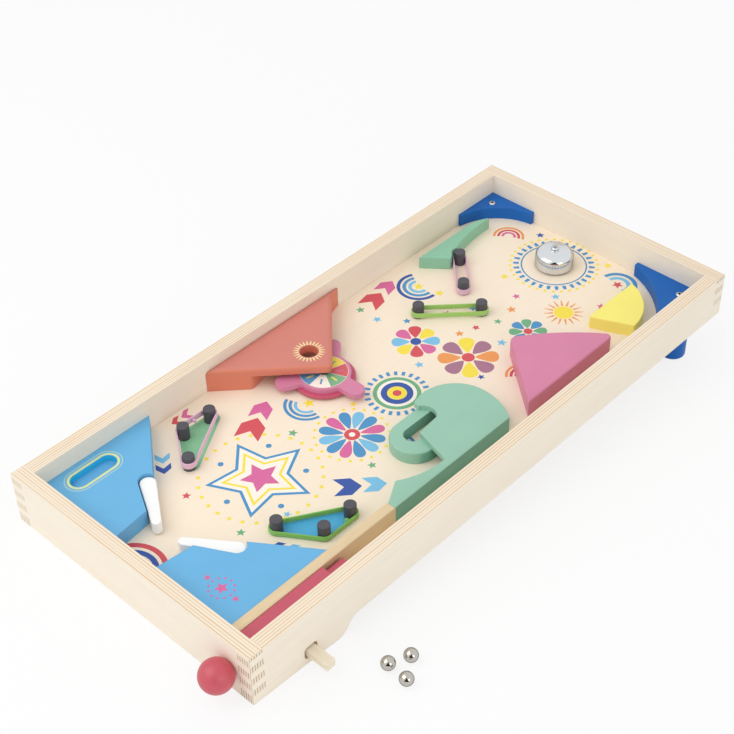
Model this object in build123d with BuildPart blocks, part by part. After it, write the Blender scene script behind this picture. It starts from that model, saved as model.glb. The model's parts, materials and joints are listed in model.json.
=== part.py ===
"""Tabletop pinball game: a plywood tray that leans back on two legs, with painted wooden blocks on its board.

The pieces are drawn in the frame of the playfield: x across, y from the front wall to the back, and height
above the board. The model's own frame stands on the table, +Z up, +Y to the back, with its origin in the
middle of the front wall's underside. Millimetres and degrees.
"""
import os
from math import cos, hypot, pi, radians, sin, sqrt, tan

from build123d import *

os.makedirs("parts", exist_ok=True)

# Tray
tray_width = 300.0
tray_length = 650.0
tilt = 3.7
wall_thickness = 14.5
wall_above_board = 36.0
front_wall_height = 56.0
side_wall_height = 47.5
deep_length = 95.0
deep_curve_length = 25.0
finger_height = 7.0
lowest_finger_height = 10.0
board_thickness = 4.0
board_gap = 0.2
batten_width = 10.0
batten_recess = 0.5

# The field on which the places below were measured; in another tray they spread with its width and length
layout_width = 271.0
layout_length = 621.0

# Legs and their screws, which pass down through the corner blocks
leg_diameter = 28.0
leg_from_back = 18.5
leg_wall_gap = 0.3
leg_round = 3.0
leg_screw_diameter = 4.0
leg_screw_bite = 20.0
leg_screw_head_diameter = 7.0
leg_screw_head_height = 2.4
screw_gap = 0.05

# Launch lane, plunger and knob
lane_width = 22.5
divider_width = 10.0
divider_length = 190.8
lane_block_height = 19.0
rod_diameter = 6.0
rod_height = 7.0
knob_diameter = 30.0
knob_flat_depth = 1.9
knob_wall_gap = 0.2
head_length = 22.0
head_side_gap = 2.0
head_bottom_gap = 0.5
head_height = 13.0
head_reach = 123.0
cover_length = 101.5
cover_thickness = 4.0
cover_head_gap = 1.0
cover_side_gap = 0.2
rod_running_gap = 0.08
press_gap = 0.02
plunger_coil_diameter = 10.0
plunger_wire_diameter = 1.2
plunger_turns = 10

# Flippers, their cranks and the push bars
field_axis_from_left = 121.1
pivot_offset = 57.5
pivot_from_front = 71.2
flipper_length = 47.4
flipper_head_radius = 7.5
flipper_tip_radius = 4.5
flipper_height = 12.0
flipper_board_gap = 2.0
flipper_rest_angle = 31.8
flipper_swing = 52.0
flipper_apron_gap = 1.2
flipper_round = 1.0
crank_rod_diameter = 4.0
crank_length = 22.75
crank_bend = 4.5
crank_below_bar = 1.5
crank_running_gap = 0.08
crank_hole_depth = 9.5
bar_width = 10.0
bar_height = 8.6
bar_below_board = 2.5
bar_overhang = 22.7
bar_round = 1.5
bar_slot_margin = 2.4
bar_slot_round = 4.0
pin_slot_gap = 0.3
pin_end_gap = 0.4
pin_below_bar_top = 1.0
shoulder_from_pin = 12.0
tail_diameter = 5.0
tail_insert = 4.0
tail_running_gap = 0.1
spring_shortest = 10.0
return_coil_diameter = 7.4
return_wire_diameter = 0.9
return_turns = 6
spring_seat_gap = 0.3
return_block_depth = 13.0
return_block_width = 12.0
pivot_block_size = 18.0
pivot_block_bend_gap = 0.6

# Aprons
apron_height = 17.0
left_apron_length = 127.5
right_apron_length = 118.8
apron_rear_above_pivot = 6.5
drain_share_of_flipper = 0.66
drain_half_width = 24.5
recess_length = 48.5
recess_width = 17.0
recess_depth = 7.0
recess_from_wall = 19.3
recess_from_front = 46.8

# Window block and spinner
window_block_height = 25.0
window_roof_thickness = 9.0
window_front_from_front = 197.5
window_block_length = 179.0
window_corner_reach = 82.5
window_corner_from_front = 284.0
window_foot_front_share = 0.36
window_knee_from_wall = 4.5
window_knee_from_rear = 13.0
window_corner_radius = 5.0
window_round = 4.5
window_hole_diameter = 18.0
window_hole_offset = 19.3
spinner_from_left = 71.0
spinner_from_front = 284.0
spinner_post_diameter = 9.0
spinner_running_gap = 0.1
spinner_board_gap = 0.3
spinner_boss_radius = 9.0
spinner_boss_height = 2.0
spinner_disc_radius = 30.5
spinner_disc_thickness = 3.0
spinner_wheel_radius = 26.3
spinner_wheel_thickness = 5.5
spinner_arm_reach = 48.5
spinner_arm_width = 17.0
spinner_arm_count = 3
spinner_arm_turn = 3.0
spinner_arm_round = 4.0
spinner_dial_radius = 23.7
spinner_dial_thickness = 1.2
spinner_foot_gap = 2.0

# Ball loop and tunnel cover beside the lane
loop_height = 13.2
loop_outer_radius = 23.5
loop_inner_radius = 9.0
loop_slot_shift = -2.1
loop_from_lane = 52.0
loop_from_front = 273.5
loop_arm_length = 52.0
loop_round = 2.0
tunnel_wall = 8.5
tunnel_rear_from_front = 345.0
tunnel_dome_radius = 41.0
tunnel_dome_from_lane = 40.5
tunnel_dome_from_front = 317.5
tunnel_nose_angle = 23.0
tunnel_nose_width = 6.5
tunnel_notch_width = 21.2
tunnel_notch_depth = 6.0
tunnel_lip_drift = 2.6
tunnel_corner_radius = 2.0
tunnel_mouth_from_front = 265.0
tunnel_mouth_skew = 10.3
tail_point_from_lane = 22.5
tail_point_from_front = 215.1
tail_waist_from_front = 261.0

# Blocks at the lane, at the back and beside the crescent
block_height = 14.0
pink_tip_from_front = 372.5
pink_rear_from_front = 506.5
pink_reach = 73.5
pink_nose_from_front = 434.5
pink_bulge = 5.0
pink_corner_radius = 5.0
pink_nose_radius = 7.0
pink_round = 2.0
yellow_left_from_lane = 39.0
yellow_front_from_back = 105.5
yellow_front_rise = 18.0
yellow_tip_from_back = 33.0
yellow_right_overlap = 3.0
yellow_arc_bulge = 11.0
yellow_corner_radius = 1.5
left_corner_arc_radius = 61.0
left_corner_arc_inset = 63.5
left_corner_arc_from_back = 65.5
left_corner_end = 57.5
right_corner_arc_radius = 110.0
right_corner_arc_from_back = 110.5
right_corner_span = 77.5
right_corner_tip = 2.5
crescent_left_from_wall = 20.0
crescent_front_from_back = 143.5
crescent_front_rise = 20.0
crescent_width = 25.5
crescent_tip_from_wall = 28.5
crescent_tip_from_back = 40.5
crescent_bend_from_back = 65.0
crescent_hollow = 5.0
crescent_band_gap = 1.0
block_round = 1.0

# Pegs and elastic bands: the slings' places are from the left wall or the divider, and from the front; the
# lower bumper's from the field's axis and the front; the upper bumper's from the left wall and the back
left_sling_places = [(31.9, 172.3), (31.2, 140.5), (64.7, 117.3)]
right_sling_places = [(59.6, 115.8), (24.9, 171.0), (24.7, 138.6)]
lower_bumper_places = [(49.1, 417.7), (4.5, 462.8)]
upper_bumper_places = [(45.4, 108.5), (80.4, 143.7)]
peg_diameter = 11.6
peg_height = 15.0
peg_spigot_diameter = 6.0
peg_round = 0.8
band_thickness = 1.5
band_peg_gap = 0.05
band_heights = {"left_sling": 6.2, "right_sling": 5.2, "lower_bumper": 5.6, "upper_bumper": 6.2}
band_lifts = {"left_sling": 4.2, "right_sling": 0.8, "lower_bumper": 1.9, "upper_bumper": 1.0}

# Bell
bell_from_back = 46.0
bell_radius = 20.0
bell_rim_height = 2.5
bell_height = 20.0
bell_wall = 1.2
bell_shoulder_radius = 6.0
bell_crown = 1.2
bell_post_radius = 4.5
bell_seat_radius = 5.5
bell_post_foot_radius = 8.0
bell_post_foot_height = 2.0
bell_stud_radius = 2.0
bell_stud_rise = 4.0
bell_nut_across = 8.0
bell_nut_height = 3.2

# Loose balls on the table, from the right wall's outer face and from the origin
ball_diameter = 12.7
ball_places = [(49.5, 94.0), (57.0, 113.3), (70.9, 92.4)]

# Frame of the playfield
slope = radians(tilt)
board_rise = front_wall_height - wall_above_board
front_shift = board_rise * sin(slope) + wall_thickness / 2 / cos(slope)
field = Plane(
    origin=(0, -front_shift, board_rise * cos(slope)),
    x_dir=(1, 0, 0),
    z_dir=(0, -sin(slope), cos(slope)),
)
up = Axis((0, 0, 0), field.z_dir)
half_width = tray_width / 2
left_x = wall_thickness - half_width
right_x = half_width - wall_thickness
front_y = wall_thickness
back_y = tray_length - wall_thickness
lane_x = right_x - lane_width
divider_x = lane_x - divider_width
side_bottom = wall_above_board - side_wall_height
spread_x = (right_x - left_x) / layout_width
spread_y = (back_y - front_y) / layout_length
field_x = left_x + field_axis_from_left * spread_x
peg_radius = peg_diameter / 2


def point(x, y, height):
    """A point of the playfield's frame, in the model's own frame."""
    return field.from_local_coords(Vector(x, y, height))


def level(height):
    """The plane parallel to the board at a height above it."""
    return field.offset(height)


def spot(x, y, height):
    """The plane parallel to the board whose origin stands at one place."""
    return Plane(origin=point(x, y, height), x_dir=field.x_dir, z_dir=field.z_dir)


def across(y):
    """The upright plane that faces the player at a distance from the front; its axes are x and height."""
    return Plane(origin=point(0, y, 0), x_dir=field.x_dir, z_dir=-field.y_dir)


def along(x):
    """The upright plane that runs from front to back; its axes are y and height."""
    return Plane(origin=point(x, 0, 0), x_dir=field.y_dir, z_dir=field.x_dir)


def from_front(distance):
    """The place of a distance from the front wall, spread with the field."""
    return front_y + distance * spread_y


def from_back(distance):
    """The place of a distance from the back wall, spread with the field."""
    return back_y - distance * spread_y


def top_edges(piece):
    """The edges round the highest face of a piece."""
    return piece.faces().sort_by(up)[-1].edges()


def save(piece, label):
    """Name a finished piece and write it."""
    piece.part.label = label
    export_step(piece.part, f"parts/{label}.step")


def table_height(y):
    """The table's height in the playfield's frame."""
    return -board_rise - y * tan(slope)


# Finger joints: the low edges of the front wall's fingers, and of those that the back wall shares
finger_pitch = 2 * finger_height
finger_count = int((front_wall_height - lowest_finger_height) / finger_pitch) + 1
front_fingers = [lowest_finger_height - board_rise + k * finger_pitch for k in range(finger_count)]
back_fingers = [low for low in front_fingers if low > side_bottom + finger_height]


def comb(lows):
    """The ends of a front or back wall: fingers that fill the gaps of the side walls."""
    for low in lows:
        height = min(finger_height, wall_above_board - low)
        for x in (left_x - wall_thickness / 2, right_x + wall_thickness / 2):
            with Locations((x, low + height / 2)):
                Rectangle(wall_thickness, height)


with BuildPart() as front_wall:
    with BuildSketch(across(0)):
        front_low = table_height(wall_thickness)
        with Locations((0, (wall_above_board + front_low) / 2)):
            Rectangle(right_x - left_x, wall_above_board - front_low)
        comb(front_fingers)
    extrude(amount=-wall_thickness)
    split(bisect_by=Plane.XY)
    rod_x = (lane_x + right_x) / 2
    with BuildSketch(across(0)):
        with Locations((rod_x, rod_height)):
            Circle(rod_diameter / 2 + rod_running_gap)
    extrude(amount=-wall_thickness, mode=Mode.SUBTRACT)
save(front_wall, "front_wall")

with BuildPart() as back_wall:
    with BuildSketch(across(back_y)):
        with Locations((0, (wall_above_board + side_bottom) / 2)):
            Rectangle(right_x - left_x, side_wall_height)
        comb(back_fingers)
    extrude(amount=-wall_thickness)
save(back_wall, "back_wall")

# Push bars: where they lie, and how far the crank pins and the bars travel
pivot_y = front_y + pivot_from_front
half_swing = radians(flipper_swing / 2)
pin_reach = crank_length * sin(half_swing)
bar_y = pivot_y - crank_length * (1 + cos(half_swing)) / 2
bar_z = -board_thickness - bar_below_board - bar_height / 2
bar_travel = 2 * pin_reach

for side, x in (("left", -half_width), ("right", right_x)):
    with BuildPart() as side_wall:
        with BuildSketch(along(x)):
            with BuildLine():
                curve_top = (deep_length + deep_curve_length, side_bottom)
                curve_foot = (deep_length, table_height(deep_length))
                curve_middle = ((curve_top[0] + curve_foot[0]) / 2, (curve_top[1] + curve_foot[1]) / 2)
                Polyline(
                    curve_foot,
                    (0, -board_rise),
                    (0, wall_above_board),
                    (tray_length, wall_above_board),
                    (tray_length, side_bottom),
                    curve_top,
                )
                upper_bend = TangentArc(curve_top, curve_middle, tangent=(-1, 0))
                TangentArc(curve_middle, curve_foot, tangent=upper_bend % 1)
            make_face()
            for y, lows in ((wall_thickness, front_fingers), (tray_length, back_fingers)):
                for low in lows:
                    with Locations((y - wall_thickness / 2, low + finger_height / 2)):
                        Rectangle(wall_thickness, finger_height, mode=Mode.SUBTRACT)
            with Locations((bar_y, bar_z)):
                RectangleRounded(
                    bar_width + 2 * bar_slot_margin,
                    bar_height + 2 * bar_slot_margin,
                    bar_slot_round,
                    mode=Mode.SUBTRACT,
                )
        extrude(amount=wall_thickness)
    save(side_wall, f"{side}_wall")

# Playfield board, with holes for the flipper cranks, the peg spigots, the spinner post and the leg screws
pivots = {"left": field_x - pivot_offset * spread_x, "right": field_x + pivot_offset * spread_x}
legs = {"left": left_x + leg_wall_gap + leg_diameter / 2, "right": right_x - leg_wall_gap - leg_diameter / 2}
leg_y = back_y - leg_from_back
spinner_x = left_x + spinner_from_left
spinner_y = from_front(spinner_from_front)
peg_groups = {
    "left_sling": [(left_x + x, from_front(y)) for x, y in left_sling_places],
    "right_sling": [(divider_x - x, from_front(y)) for x, y in right_sling_places],
    "lower_bumper": [(field_x - x, from_front(y)) for x, y in lower_bumper_places],
    "upper_bumper": [(left_x + x, from_back(y)) for x, y in upper_bumper_places],
}
peg_spots = [place for places in peg_groups.values() for place in places]
bell_y = back_y - bell_from_back

with BuildPart() as playfield_board:
    with BuildSketch(level(-board_thickness)):
        with Locations(((left_x + right_x) / 2, (front_y + back_y) / 2)):
            Rectangle(right_x - left_x - 2 * board_gap, back_y - front_y - 2 * board_gap)
        with Locations(*[(x, pivot_y) for x in pivots.values()]):
            Circle(crank_rod_diameter / 2 + crank_running_gap, mode=Mode.SUBTRACT)
        with Locations(*peg_spots):
            Circle(peg_spigot_diameter / 2 + press_gap, mode=Mode.SUBTRACT)
        with Locations((spinner_x, spinner_y)):
            Circle(peg_spigot_diameter / 2 + press_gap, mode=Mode.SUBTRACT)
        with Locations((field_x, bell_y)):
            Circle(bell_stud_radius + press_gap, mode=Mode.SUBTRACT)
        with Locations(*[(x, leg_y) for x in legs.values()]):
            Circle(leg_screw_diameter / 2 + screw_gap, mode=Mode.SUBTRACT)
    extrude(amount=board_thickness)
save(playfield_board, "playfield_board")

# Battens under the board, clear of the legs and of the deep front section
batten_depth = side_wall_height - wall_above_board - board_thickness - batten_recess
batten_start = deep_length + deep_curve_length
batten_end = leg_y - leg_diameter / 2 - batten_width
batten_length = batten_end - batten_start
batten_y = (batten_start + batten_end) / 2
cross_batten_length = 2 * (legs["right"] - leg_diameter / 2 - batten_width)
battens = {
    "left_batten": (left_x + batten_width / 2, batten_y, batten_width, batten_length),
    "right_batten": (right_x - batten_width / 2, batten_y, batten_width, batten_length),
    "front_batten": (0, front_y + batten_width / 2, cross_batten_length, batten_width),
    "back_batten": (0, back_y - batten_width / 2, cross_batten_length, batten_width),
}
for label, (x, y, width, length) in battens.items():
    with BuildPart() as batten:
        with BuildSketch(level(-board_thickness)):
            with Locations((x, y)):
                Rectangle(width, length)
        extrude(amount=-batten_depth)
    save(batten, label)

# Flippers at rest: pivot, and the tip's place
rest_angle = radians(flipper_rest_angle)
tip_reach = flipper_length * spread_x
tip_y = pivot_y - tip_reach * sin(rest_angle)
tips = {
    "left": pivots["left"] + tip_reach * cos(rest_angle),
    "right": pivots["right"] - tip_reach * cos(rest_angle),
}


def flipper_shape(side, gap=0.0, mode=Mode.ADD):
    """A flipper's outline at rest, or the room that it needs."""
    with BuildSketch(mode=Mode.PRIVATE) as shape:
        with Locations((pivots[side], pivot_y)):
            Circle(flipper_head_radius + gap)
        with Locations((tips[side], tip_y)):
            Circle(flipper_tip_radius + gap)
        make_hull()
    add(shape.sketch, mode=mode)


# Aprons: each runs from its wall or the divider to the flipper and the drain
apron_edges = {"left": (left_x, left_apron_length), "right": (divider_x, right_apron_length)}
drain_x = {"left": field_x - drain_half_width * spread_x, "right": field_x + drain_half_width * spread_x}

for side, (edge_x, length) in apron_edges.items():
    with BuildPart() as apron:
        with BuildSketch(level(0)):
            with BuildLine():
                Polyline(
                    (edge_x, front_y),
                    (edge_x, front_y + length),
                    (pivots[side], pivot_y + apron_rear_above_pivot),
                    (pivots[side], pivot_y),
                    (
                        pivots[side] + drain_share_of_flipper * (tips[side] - pivots[side]),
                        pivot_y + drain_share_of_flipper * (tip_y - pivot_y),
                    ),
                    (drain_x[side], front_y),
                    close=True,
                )
            make_face()
            flipper_shape(side, flipper_apron_gap, Mode.SUBTRACT)
        extrude(amount=apron_height)
        if side == "left":
            with BuildSketch(level(apron_height)):
                with Locations((left_x + recess_from_wall, front_y + recess_from_front)):
                    SlotOverall(recess_length, recess_width, rotation=90)
            extrude(amount=-recess_depth, mode=Mode.SUBTRACT)
    save(apron, f"{side}_apron")

# Flippers, and the bent crank rods that carry them
crank_z = bar_z - bar_height / 2 - crank_below_bar - crank_rod_diameter / 2
pin_y = pivot_y - crank_length * cos(half_swing)
pivot_block_depth = -crank_z - crank_bend - board_thickness - pivot_block_bend_gap
pins = {"left": pivots["left"] - pin_reach, "right": pivots["right"] + pin_reach}

for side in pivots:
    with BuildPart() as flipper:
        with BuildSketch(level(flipper_board_gap)):
            flipper_shape(side)
        extrude(amount=flipper_height)
        fillet(top_edges(flipper), radius=flipper_round)
        with BuildSketch(level(flipper_board_gap)):
            with Locations((pivots[side], pivot_y)):
                Circle(crank_rod_diameter / 2 + press_gap)
        extrude(amount=crank_hole_depth, mode=Mode.SUBTRACT)
    save(flipper, f"{side}_flipper")

    with BuildPart() as crank:
        with BuildLine() as crank_line:
            FilletPolyline(
                point(pivots[side], pivot_y, flipper_board_gap + crank_hole_depth),
                point(pivots[side], pivot_y, crank_z),
                point(pins[side], pin_y, crank_z),
                point(pins[side], pin_y, bar_z + bar_height / 2 - pin_below_bar_top),
                radius=crank_bend,
            )
        with BuildSketch(Plane(origin=crank_line.line @ 0, z_dir=crank_line.line % 0)):
            Circle(crank_rod_diameter / 2)
        sweep(path=crank_line.line)
    save(crank, f"{side}_crank")

    with BuildPart() as pivot_block:
        with BuildSketch(level(-board_thickness)):
            with Locations((pivots[side], pivot_y)):
                Rectangle(pivot_block_size, pivot_block_size)
                Circle(crank_rod_diameter / 2 + crank_running_gap, mode=Mode.SUBTRACT)
        extrude(amount=-pivot_block_depth)
    save(pivot_block, f"{side}_pivot_block")

# Push bars: a flat bar with a cross slot for the crank pin, and a round tail that carries the return spring
shoulders = {"left": pins["left"] + shoulder_from_pin, "right": pins["right"] - shoulder_from_pin}
block_face = shoulders["right"] - bar_travel - spring_shortest
block_half = block_face - field_x
pin_travel = crank_length * (1 - cos(half_swing))

for side, outward in (("left", -1), ("right", 1)):
    bar_tip = outward * (half_width + bar_overhang)
    bar_end = 0 if side == "left" else -1
    with BuildPart() as push_bar:
        with BuildSketch(along(bar_tip)):
            with Locations((bar_y, bar_z)):
                Rectangle(bar_width, bar_height)
        extrude(amount=shoulders[side] - bar_tip)
        fillet(push_bar.edges().filter_by(Axis.X), radius=bar_round)
        fillet(push_bar.faces().sort_by(Axis.X)[bar_end].edges(), radius=bar_round / 2)
        with BuildSketch(level(bar_z + bar_height / 2)):
            with Locations((pins[side], pin_y - pin_travel / 2)):
                SlotOverall(
                    pin_travel + crank_rod_diameter + 2 * pin_end_gap,
                    crank_rod_diameter + 2 * pin_slot_gap,
                    rotation=90,
                )
        extrude(amount=-bar_height, mode=Mode.SUBTRACT)
        with BuildSketch(along(shoulders[side])):
            with Locations((bar_y, bar_z)):
                Circle(tail_diameter / 2)
        extrude(amount=-outward * (bar_travel + spring_shortest + tail_insert))
    save(push_bar, f"{side}_push_bar")

with BuildPart() as return_block:
    with BuildSketch(level(-board_thickness)):
        with Locations((field_x, bar_y)):
            Rectangle(2 * block_half, return_block_width)
    extrude(amount=-return_block_depth)
    with BuildSketch(along(field_x - block_half)):
        with Locations((bar_y, bar_z)):
            Circle(tail_diameter / 2 + tail_running_gap)
    extrude(amount=2 * block_half, mode=Mode.SUBTRACT)
save(return_block, "return_block")


def coil(seat, reach, turns, coil_diameter, wire_diameter):
    """A helix between two seats, as a line of biarcs of half a turn, and its least gap to itself.

    seat is the plane of one seat, its normal along the coil; reach is the distance to the other seat.
    """
    radius = coil_diameter / 2
    clear = wire_diameter / 2 + spring_seat_gap
    rise = (reach - 2 * clear) / turns
    drift = rise / (2 * pi)

    def station(turn):
        """The place on the helix after a number of turns, and the way that the wire runs there."""
        angle = 2 * pi * turn
        place = seat.from_local_coords(Vector(radius * cos(angle), radius * sin(angle), clear + rise * turn))
        way = seat.y_dir * radius * cos(angle) - seat.x_dir * radius * sin(angle) + seat.z_dir * drift
        return place, way.normalized()

    with BuildLine() as line:
        for k in range(2 * turns):
            start, start_way = station(k / 2)
            end, end_way = station((k + 1) / 2)
            chord = end - start
            both = start_way + end_way
            a = both.dot(both) - 4
            b = chord.dot(both)
            c = chord.dot(chord)
            reach_share = (b - sqrt(b * b - a * c)) / a if abs(a) > 1e-9 else c / (2 * b)
            joint = (start + start_way * reach_share + end - end_way * reach_share) * 0.5
            first = TangentArc(start, joint, tangent=start_way)
            TangentArc(joint, end, tangent=first % 1)

    samples = [station(k / 24)[0] for k in range(24 * turns + 1)]
    least = min(
        (samples[i] - samples[j]).length
        for i in range(len(samples))
        for j in range(i + 12, len(samples))
    )
    print(f"coil of {turns} turns: least gap to itself {least - wire_diameter:.2f} mm")
    return line.line


def wound(label, seat, reach, turns, coil_diameter, wire_diameter):
    """A coil spring of round wire, written under its label."""
    route = coil(seat, reach, turns, coil_diameter, wire_diameter)
    with BuildPart() as spring:
        with BuildSketch(Plane(origin=route @ 0, z_dir=route % 0)):
            Circle(wire_diameter / 2)
        sweep(path=route)
    save(spring, label)


for side, outward in (("left", -1), ("right", 1)):
    face_x = field_x + outward * block_half
    spring_seat = Plane(origin=point(face_x, bar_y, bar_z), x_dir=field.y_dir, z_dir=field.x_dir * outward)
    wound(
        f"{side}_return_spring",
        spring_seat,
        bar_travel + spring_shortest,
        return_turns,
        return_coil_diameter,
        return_wire_diameter,
    )

# Launch lane: divider, plunger and its cover strip
divider_end = from_front(divider_length)

with BuildPart() as lane_divider:
    with BuildSketch(level(0)):
        with Locations((lane_x - divider_width / 2, (front_y + divider_end) / 2)):
            Rectangle(divider_width, divider_end - front_y)
    extrude(amount=lane_block_height)
    fillet(top_edges(lane_divider), radius=block_round)
save(lane_divider, "lane_divider")

head_top = head_bottom_gap + head_height
head_back = front_y + head_reach - head_length

with BuildPart() as plunger_cover:
    with BuildSketch(level(head_top + cover_head_gap)):
        with Locations(((lane_x + right_x) / 2, front_y + cover_length / 2)):
            Rectangle(lane_width - 2 * cover_side_gap, cover_length)
    extrude(amount=cover_thickness)
    fillet(top_edges(plunger_cover), radius=block_round)
save(plunger_cover, "plunger_cover")

with BuildPart() as plunger_head:
    with BuildSketch(level(head_bottom_gap)):
        with Locations((rod_x, head_back + head_length / 2)):
            Rectangle(lane_width - 2 * head_side_gap, head_length)
    extrude(amount=head_height)
    fillet(top_edges(plunger_head), radius=block_round)
    with BuildSketch(across(head_back)):
        with Locations((rod_x, rod_height)):
            Circle(rod_diameter / 2 + press_gap)
    extrude(amount=-head_length / 2, mode=Mode.SUBTRACT)
save(plunger_head, "plunger_head")

knob_radius = knob_diameter / 2
knob_y = -knob_wall_gap - knob_radius + knob_flat_depth
knob_seat = knob_y - knob_radius / 2

with BuildPart() as plunger_knob:
    with Locations(point(rod_x, knob_y, rod_height)):
        Sphere(knob_radius)
    split(bisect_by=across(-knob_wall_gap))
    with BuildSketch(across(knob_seat)):
        with Locations((rod_x, rod_height)):
            Circle(rod_diameter / 2 + press_gap)
    extrude(amount=-knob_radius * 2, mode=Mode.SUBTRACT)
save(plunger_knob, "plunger_knob")

with BuildPart() as plunger_rod:
    with BuildSketch(across(knob_seat)):
        with Locations((rod_x, rod_height)):
            Circle(rod_diameter / 2)
    extrude(amount=knob_seat - head_back - head_length / 2)
save(plunger_rod, "plunger_rod")

plunger_seat = Plane(origin=point(rod_x, front_y, rod_height), x_dir=field.x_dir, z_dir=field.y_dir)
wound(
    "plunger_spring",
    plunger_seat,
    head_back - front_y,
    plunger_turns,
    plunger_coil_diameter,
    plunger_wire_diameter,
)

# Window block: a three-cornered roof over the spinner, on a foot along the left wall
window_front = Vector(left_x, from_front(window_front_from_front))
window_rear = Vector(left_x, from_front(window_front_from_front + window_block_length))
window_corner = Vector(left_x + window_corner_reach, from_front(window_corner_from_front))
foot_front = window_front + (window_corner - window_front) * window_foot_front_share
window_knee = window_rear + Vector(window_knee_from_wall, -window_knee_from_rear)
roof_under = window_block_height - window_roof_thickness

with BuildPart() as window_block:
    with BuildSketch(level(roof_under)) as window_roof:
        with BuildLine():
            Polyline(window_front, window_corner, window_knee, window_rear, close=True)
        make_face()
        fillet(window_roof.vertices().sort_by(Axis.X)[-1], radius=window_corner_radius)
    extrude(amount=window_roof_thickness)
    knee_edge = (window_knee + window_rear) / 2
    knee_spot = point(knee_edge.X, knee_edge.Y, window_block_height)
    fillet(top_edges(window_block).sort_by_distance(knee_spot)[1:], radius=window_round)
    with BuildSketch(level(0)) as window_foot:
        with BuildLine():
            Polyline(window_front, foot_front, window_knee, window_rear, close=True)
        make_face()
        fillet(window_foot.vertices().sort_by(Axis.X)[-1], radius=window_corner_radius)
        with Locations((spinner_x, spinner_y)):
            Circle(spinner_arm_reach + spinner_foot_gap, mode=Mode.SUBTRACT)
    extrude(amount=roof_under)
    with BuildSketch(level(roof_under)):
        with Locations((spinner_x - window_hole_offset, spinner_y)):
            Circle(window_hole_diameter / 2)
    extrude(amount=window_roof_thickness, mode=Mode.SUBTRACT)
save(window_block, "window_block")

# Spinner: post, lower disc on a boss, three-armed wheel and the printed dial let into it
disc_under = spinner_board_gap + spinner_boss_height
disc_top = disc_under + spinner_disc_thickness
wheel_top = disc_top + spinner_wheel_thickness
post_hole = spinner_post_diameter / 2 + spinner_running_gap

with BuildPart() as spinner_post:
    with BuildSketch(spot(spinner_x, spinner_y, 0)):
        Circle(spinner_post_diameter / 2)
    extrude(amount=roof_under)
    with BuildSketch(spot(spinner_x, spinner_y, 0)):
        Circle(peg_spigot_diameter / 2)
    extrude(amount=-board_thickness)
save(spinner_post, "spinner_post")

with BuildPart() as spinner_disc:
    for base, radius, height in (
        (disc_under, spinner_disc_radius, spinner_disc_thickness),
        (spinner_board_gap, spinner_boss_radius, spinner_boss_height),
    ):
        with BuildSketch(spot(spinner_x, spinner_y, base)):
            Circle(radius)
            Circle(post_hole, mode=Mode.SUBTRACT)
        extrude(amount=height)
save(spinner_disc, "spinner_disc")

with BuildPart() as spinner_wheel:
    with BuildSketch(spot(spinner_x, spinner_y, disc_top)) as wheel_shape:
        Circle(spinner_wheel_radius)
        arm_root = spinner_arm_reach - spinner_arm_width / 2
        with PolarLocations(arm_root / 2, spinner_arm_count, spinner_arm_turn):
            Rectangle(arm_root, spinner_arm_width)
        with PolarLocations(arm_root, spinner_arm_count, spinner_arm_turn):
            Circle(spinner_arm_width / 2)
        valleys = wheel_shape.vertices().filter_by(
            lambda v: abs(hypot(v.X, v.Y) - spinner_wheel_radius) < press_gap
        )
        fillet(valleys, radius=spinner_arm_round)
        Circle(post_hole, mode=Mode.SUBTRACT)
    extrude(amount=spinner_wheel_thickness)
    with BuildSketch(spot(spinner_x, spinner_y, wheel_top)):
        Circle(spinner_dial_radius + press_gap)
    extrude(amount=-spinner_dial_thickness, mode=Mode.SUBTRACT)
save(spinner_wheel, "spinner_wheel")

with BuildPart() as spinner_dial:
    with BuildSketch(spot(spinner_x, spinner_y, wheel_top - spinner_dial_thickness)):
        Circle(spinner_dial_radius)
        Circle(post_hole, mode=Mode.SUBTRACT)
    extrude(amount=spinner_dial_thickness)
save(spinner_dial, "spinner_dial")

# Ball loop: a U-shaped wall whose arms run back under the tunnel cover
loop_x = lane_x - loop_from_lane
loop_y = from_front(loop_from_front)

with BuildPart() as ball_loop:
    with BuildSketch(spot(loop_x, loop_y, 0)):
        Circle(loop_outer_radius)
        with Locations((0, loop_arm_length / 2)):
            Rectangle(2 * loop_outer_radius, loop_arm_length)
        with Locations((loop_slot_shift, loop_arm_length / 2)):
            Rectangle(2 * loop_inner_radius, loop_arm_length, mode=Mode.SUBTRACT)
        with Locations((loop_slot_shift, 0)):
            Circle(loop_inner_radius, mode=Mode.SUBTRACT)
    extrude(amount=loop_height)
    loop_rim = ball_loop.faces().sort_by(up)[-1].edges().filter_by(GeomType.CIRCLE)
    fillet(loop_rim.sort_by(SortBy.RADIUS)[-1], radius=loop_round)
save(ball_loop, "ball_loop")

# Tunnel cover: a domed roof over the loop, a wall along the lane and a pointed tail
dome_x = lane_x - tunnel_dome_from_lane
dome_y = from_front(tunnel_dome_from_front)
nose_angle = radians(tunnel_nose_angle)
tunnel_nose = (dome_x - tunnel_dome_radius * cos(nose_angle), dome_y - tunnel_dome_radius * sin(nose_angle))
tunnel_rear = (lane_x, from_front(tunnel_rear_from_front))
tail_point = (lane_x - tail_point_from_lane, from_front(tail_point_from_front))
waist_y = from_front(tail_waist_from_front)
mouth_y = from_front(tunnel_mouth_from_front)
inner_wall_x = lane_x - tunnel_wall
notch_left = tunnel_nose[0] + tunnel_nose_width
notch_right = notch_left + tunnel_notch_width
tunnel_lip = (notch_right + tunnel_lip_drift, mouth_y + tunnel_mouth_skew)


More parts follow.
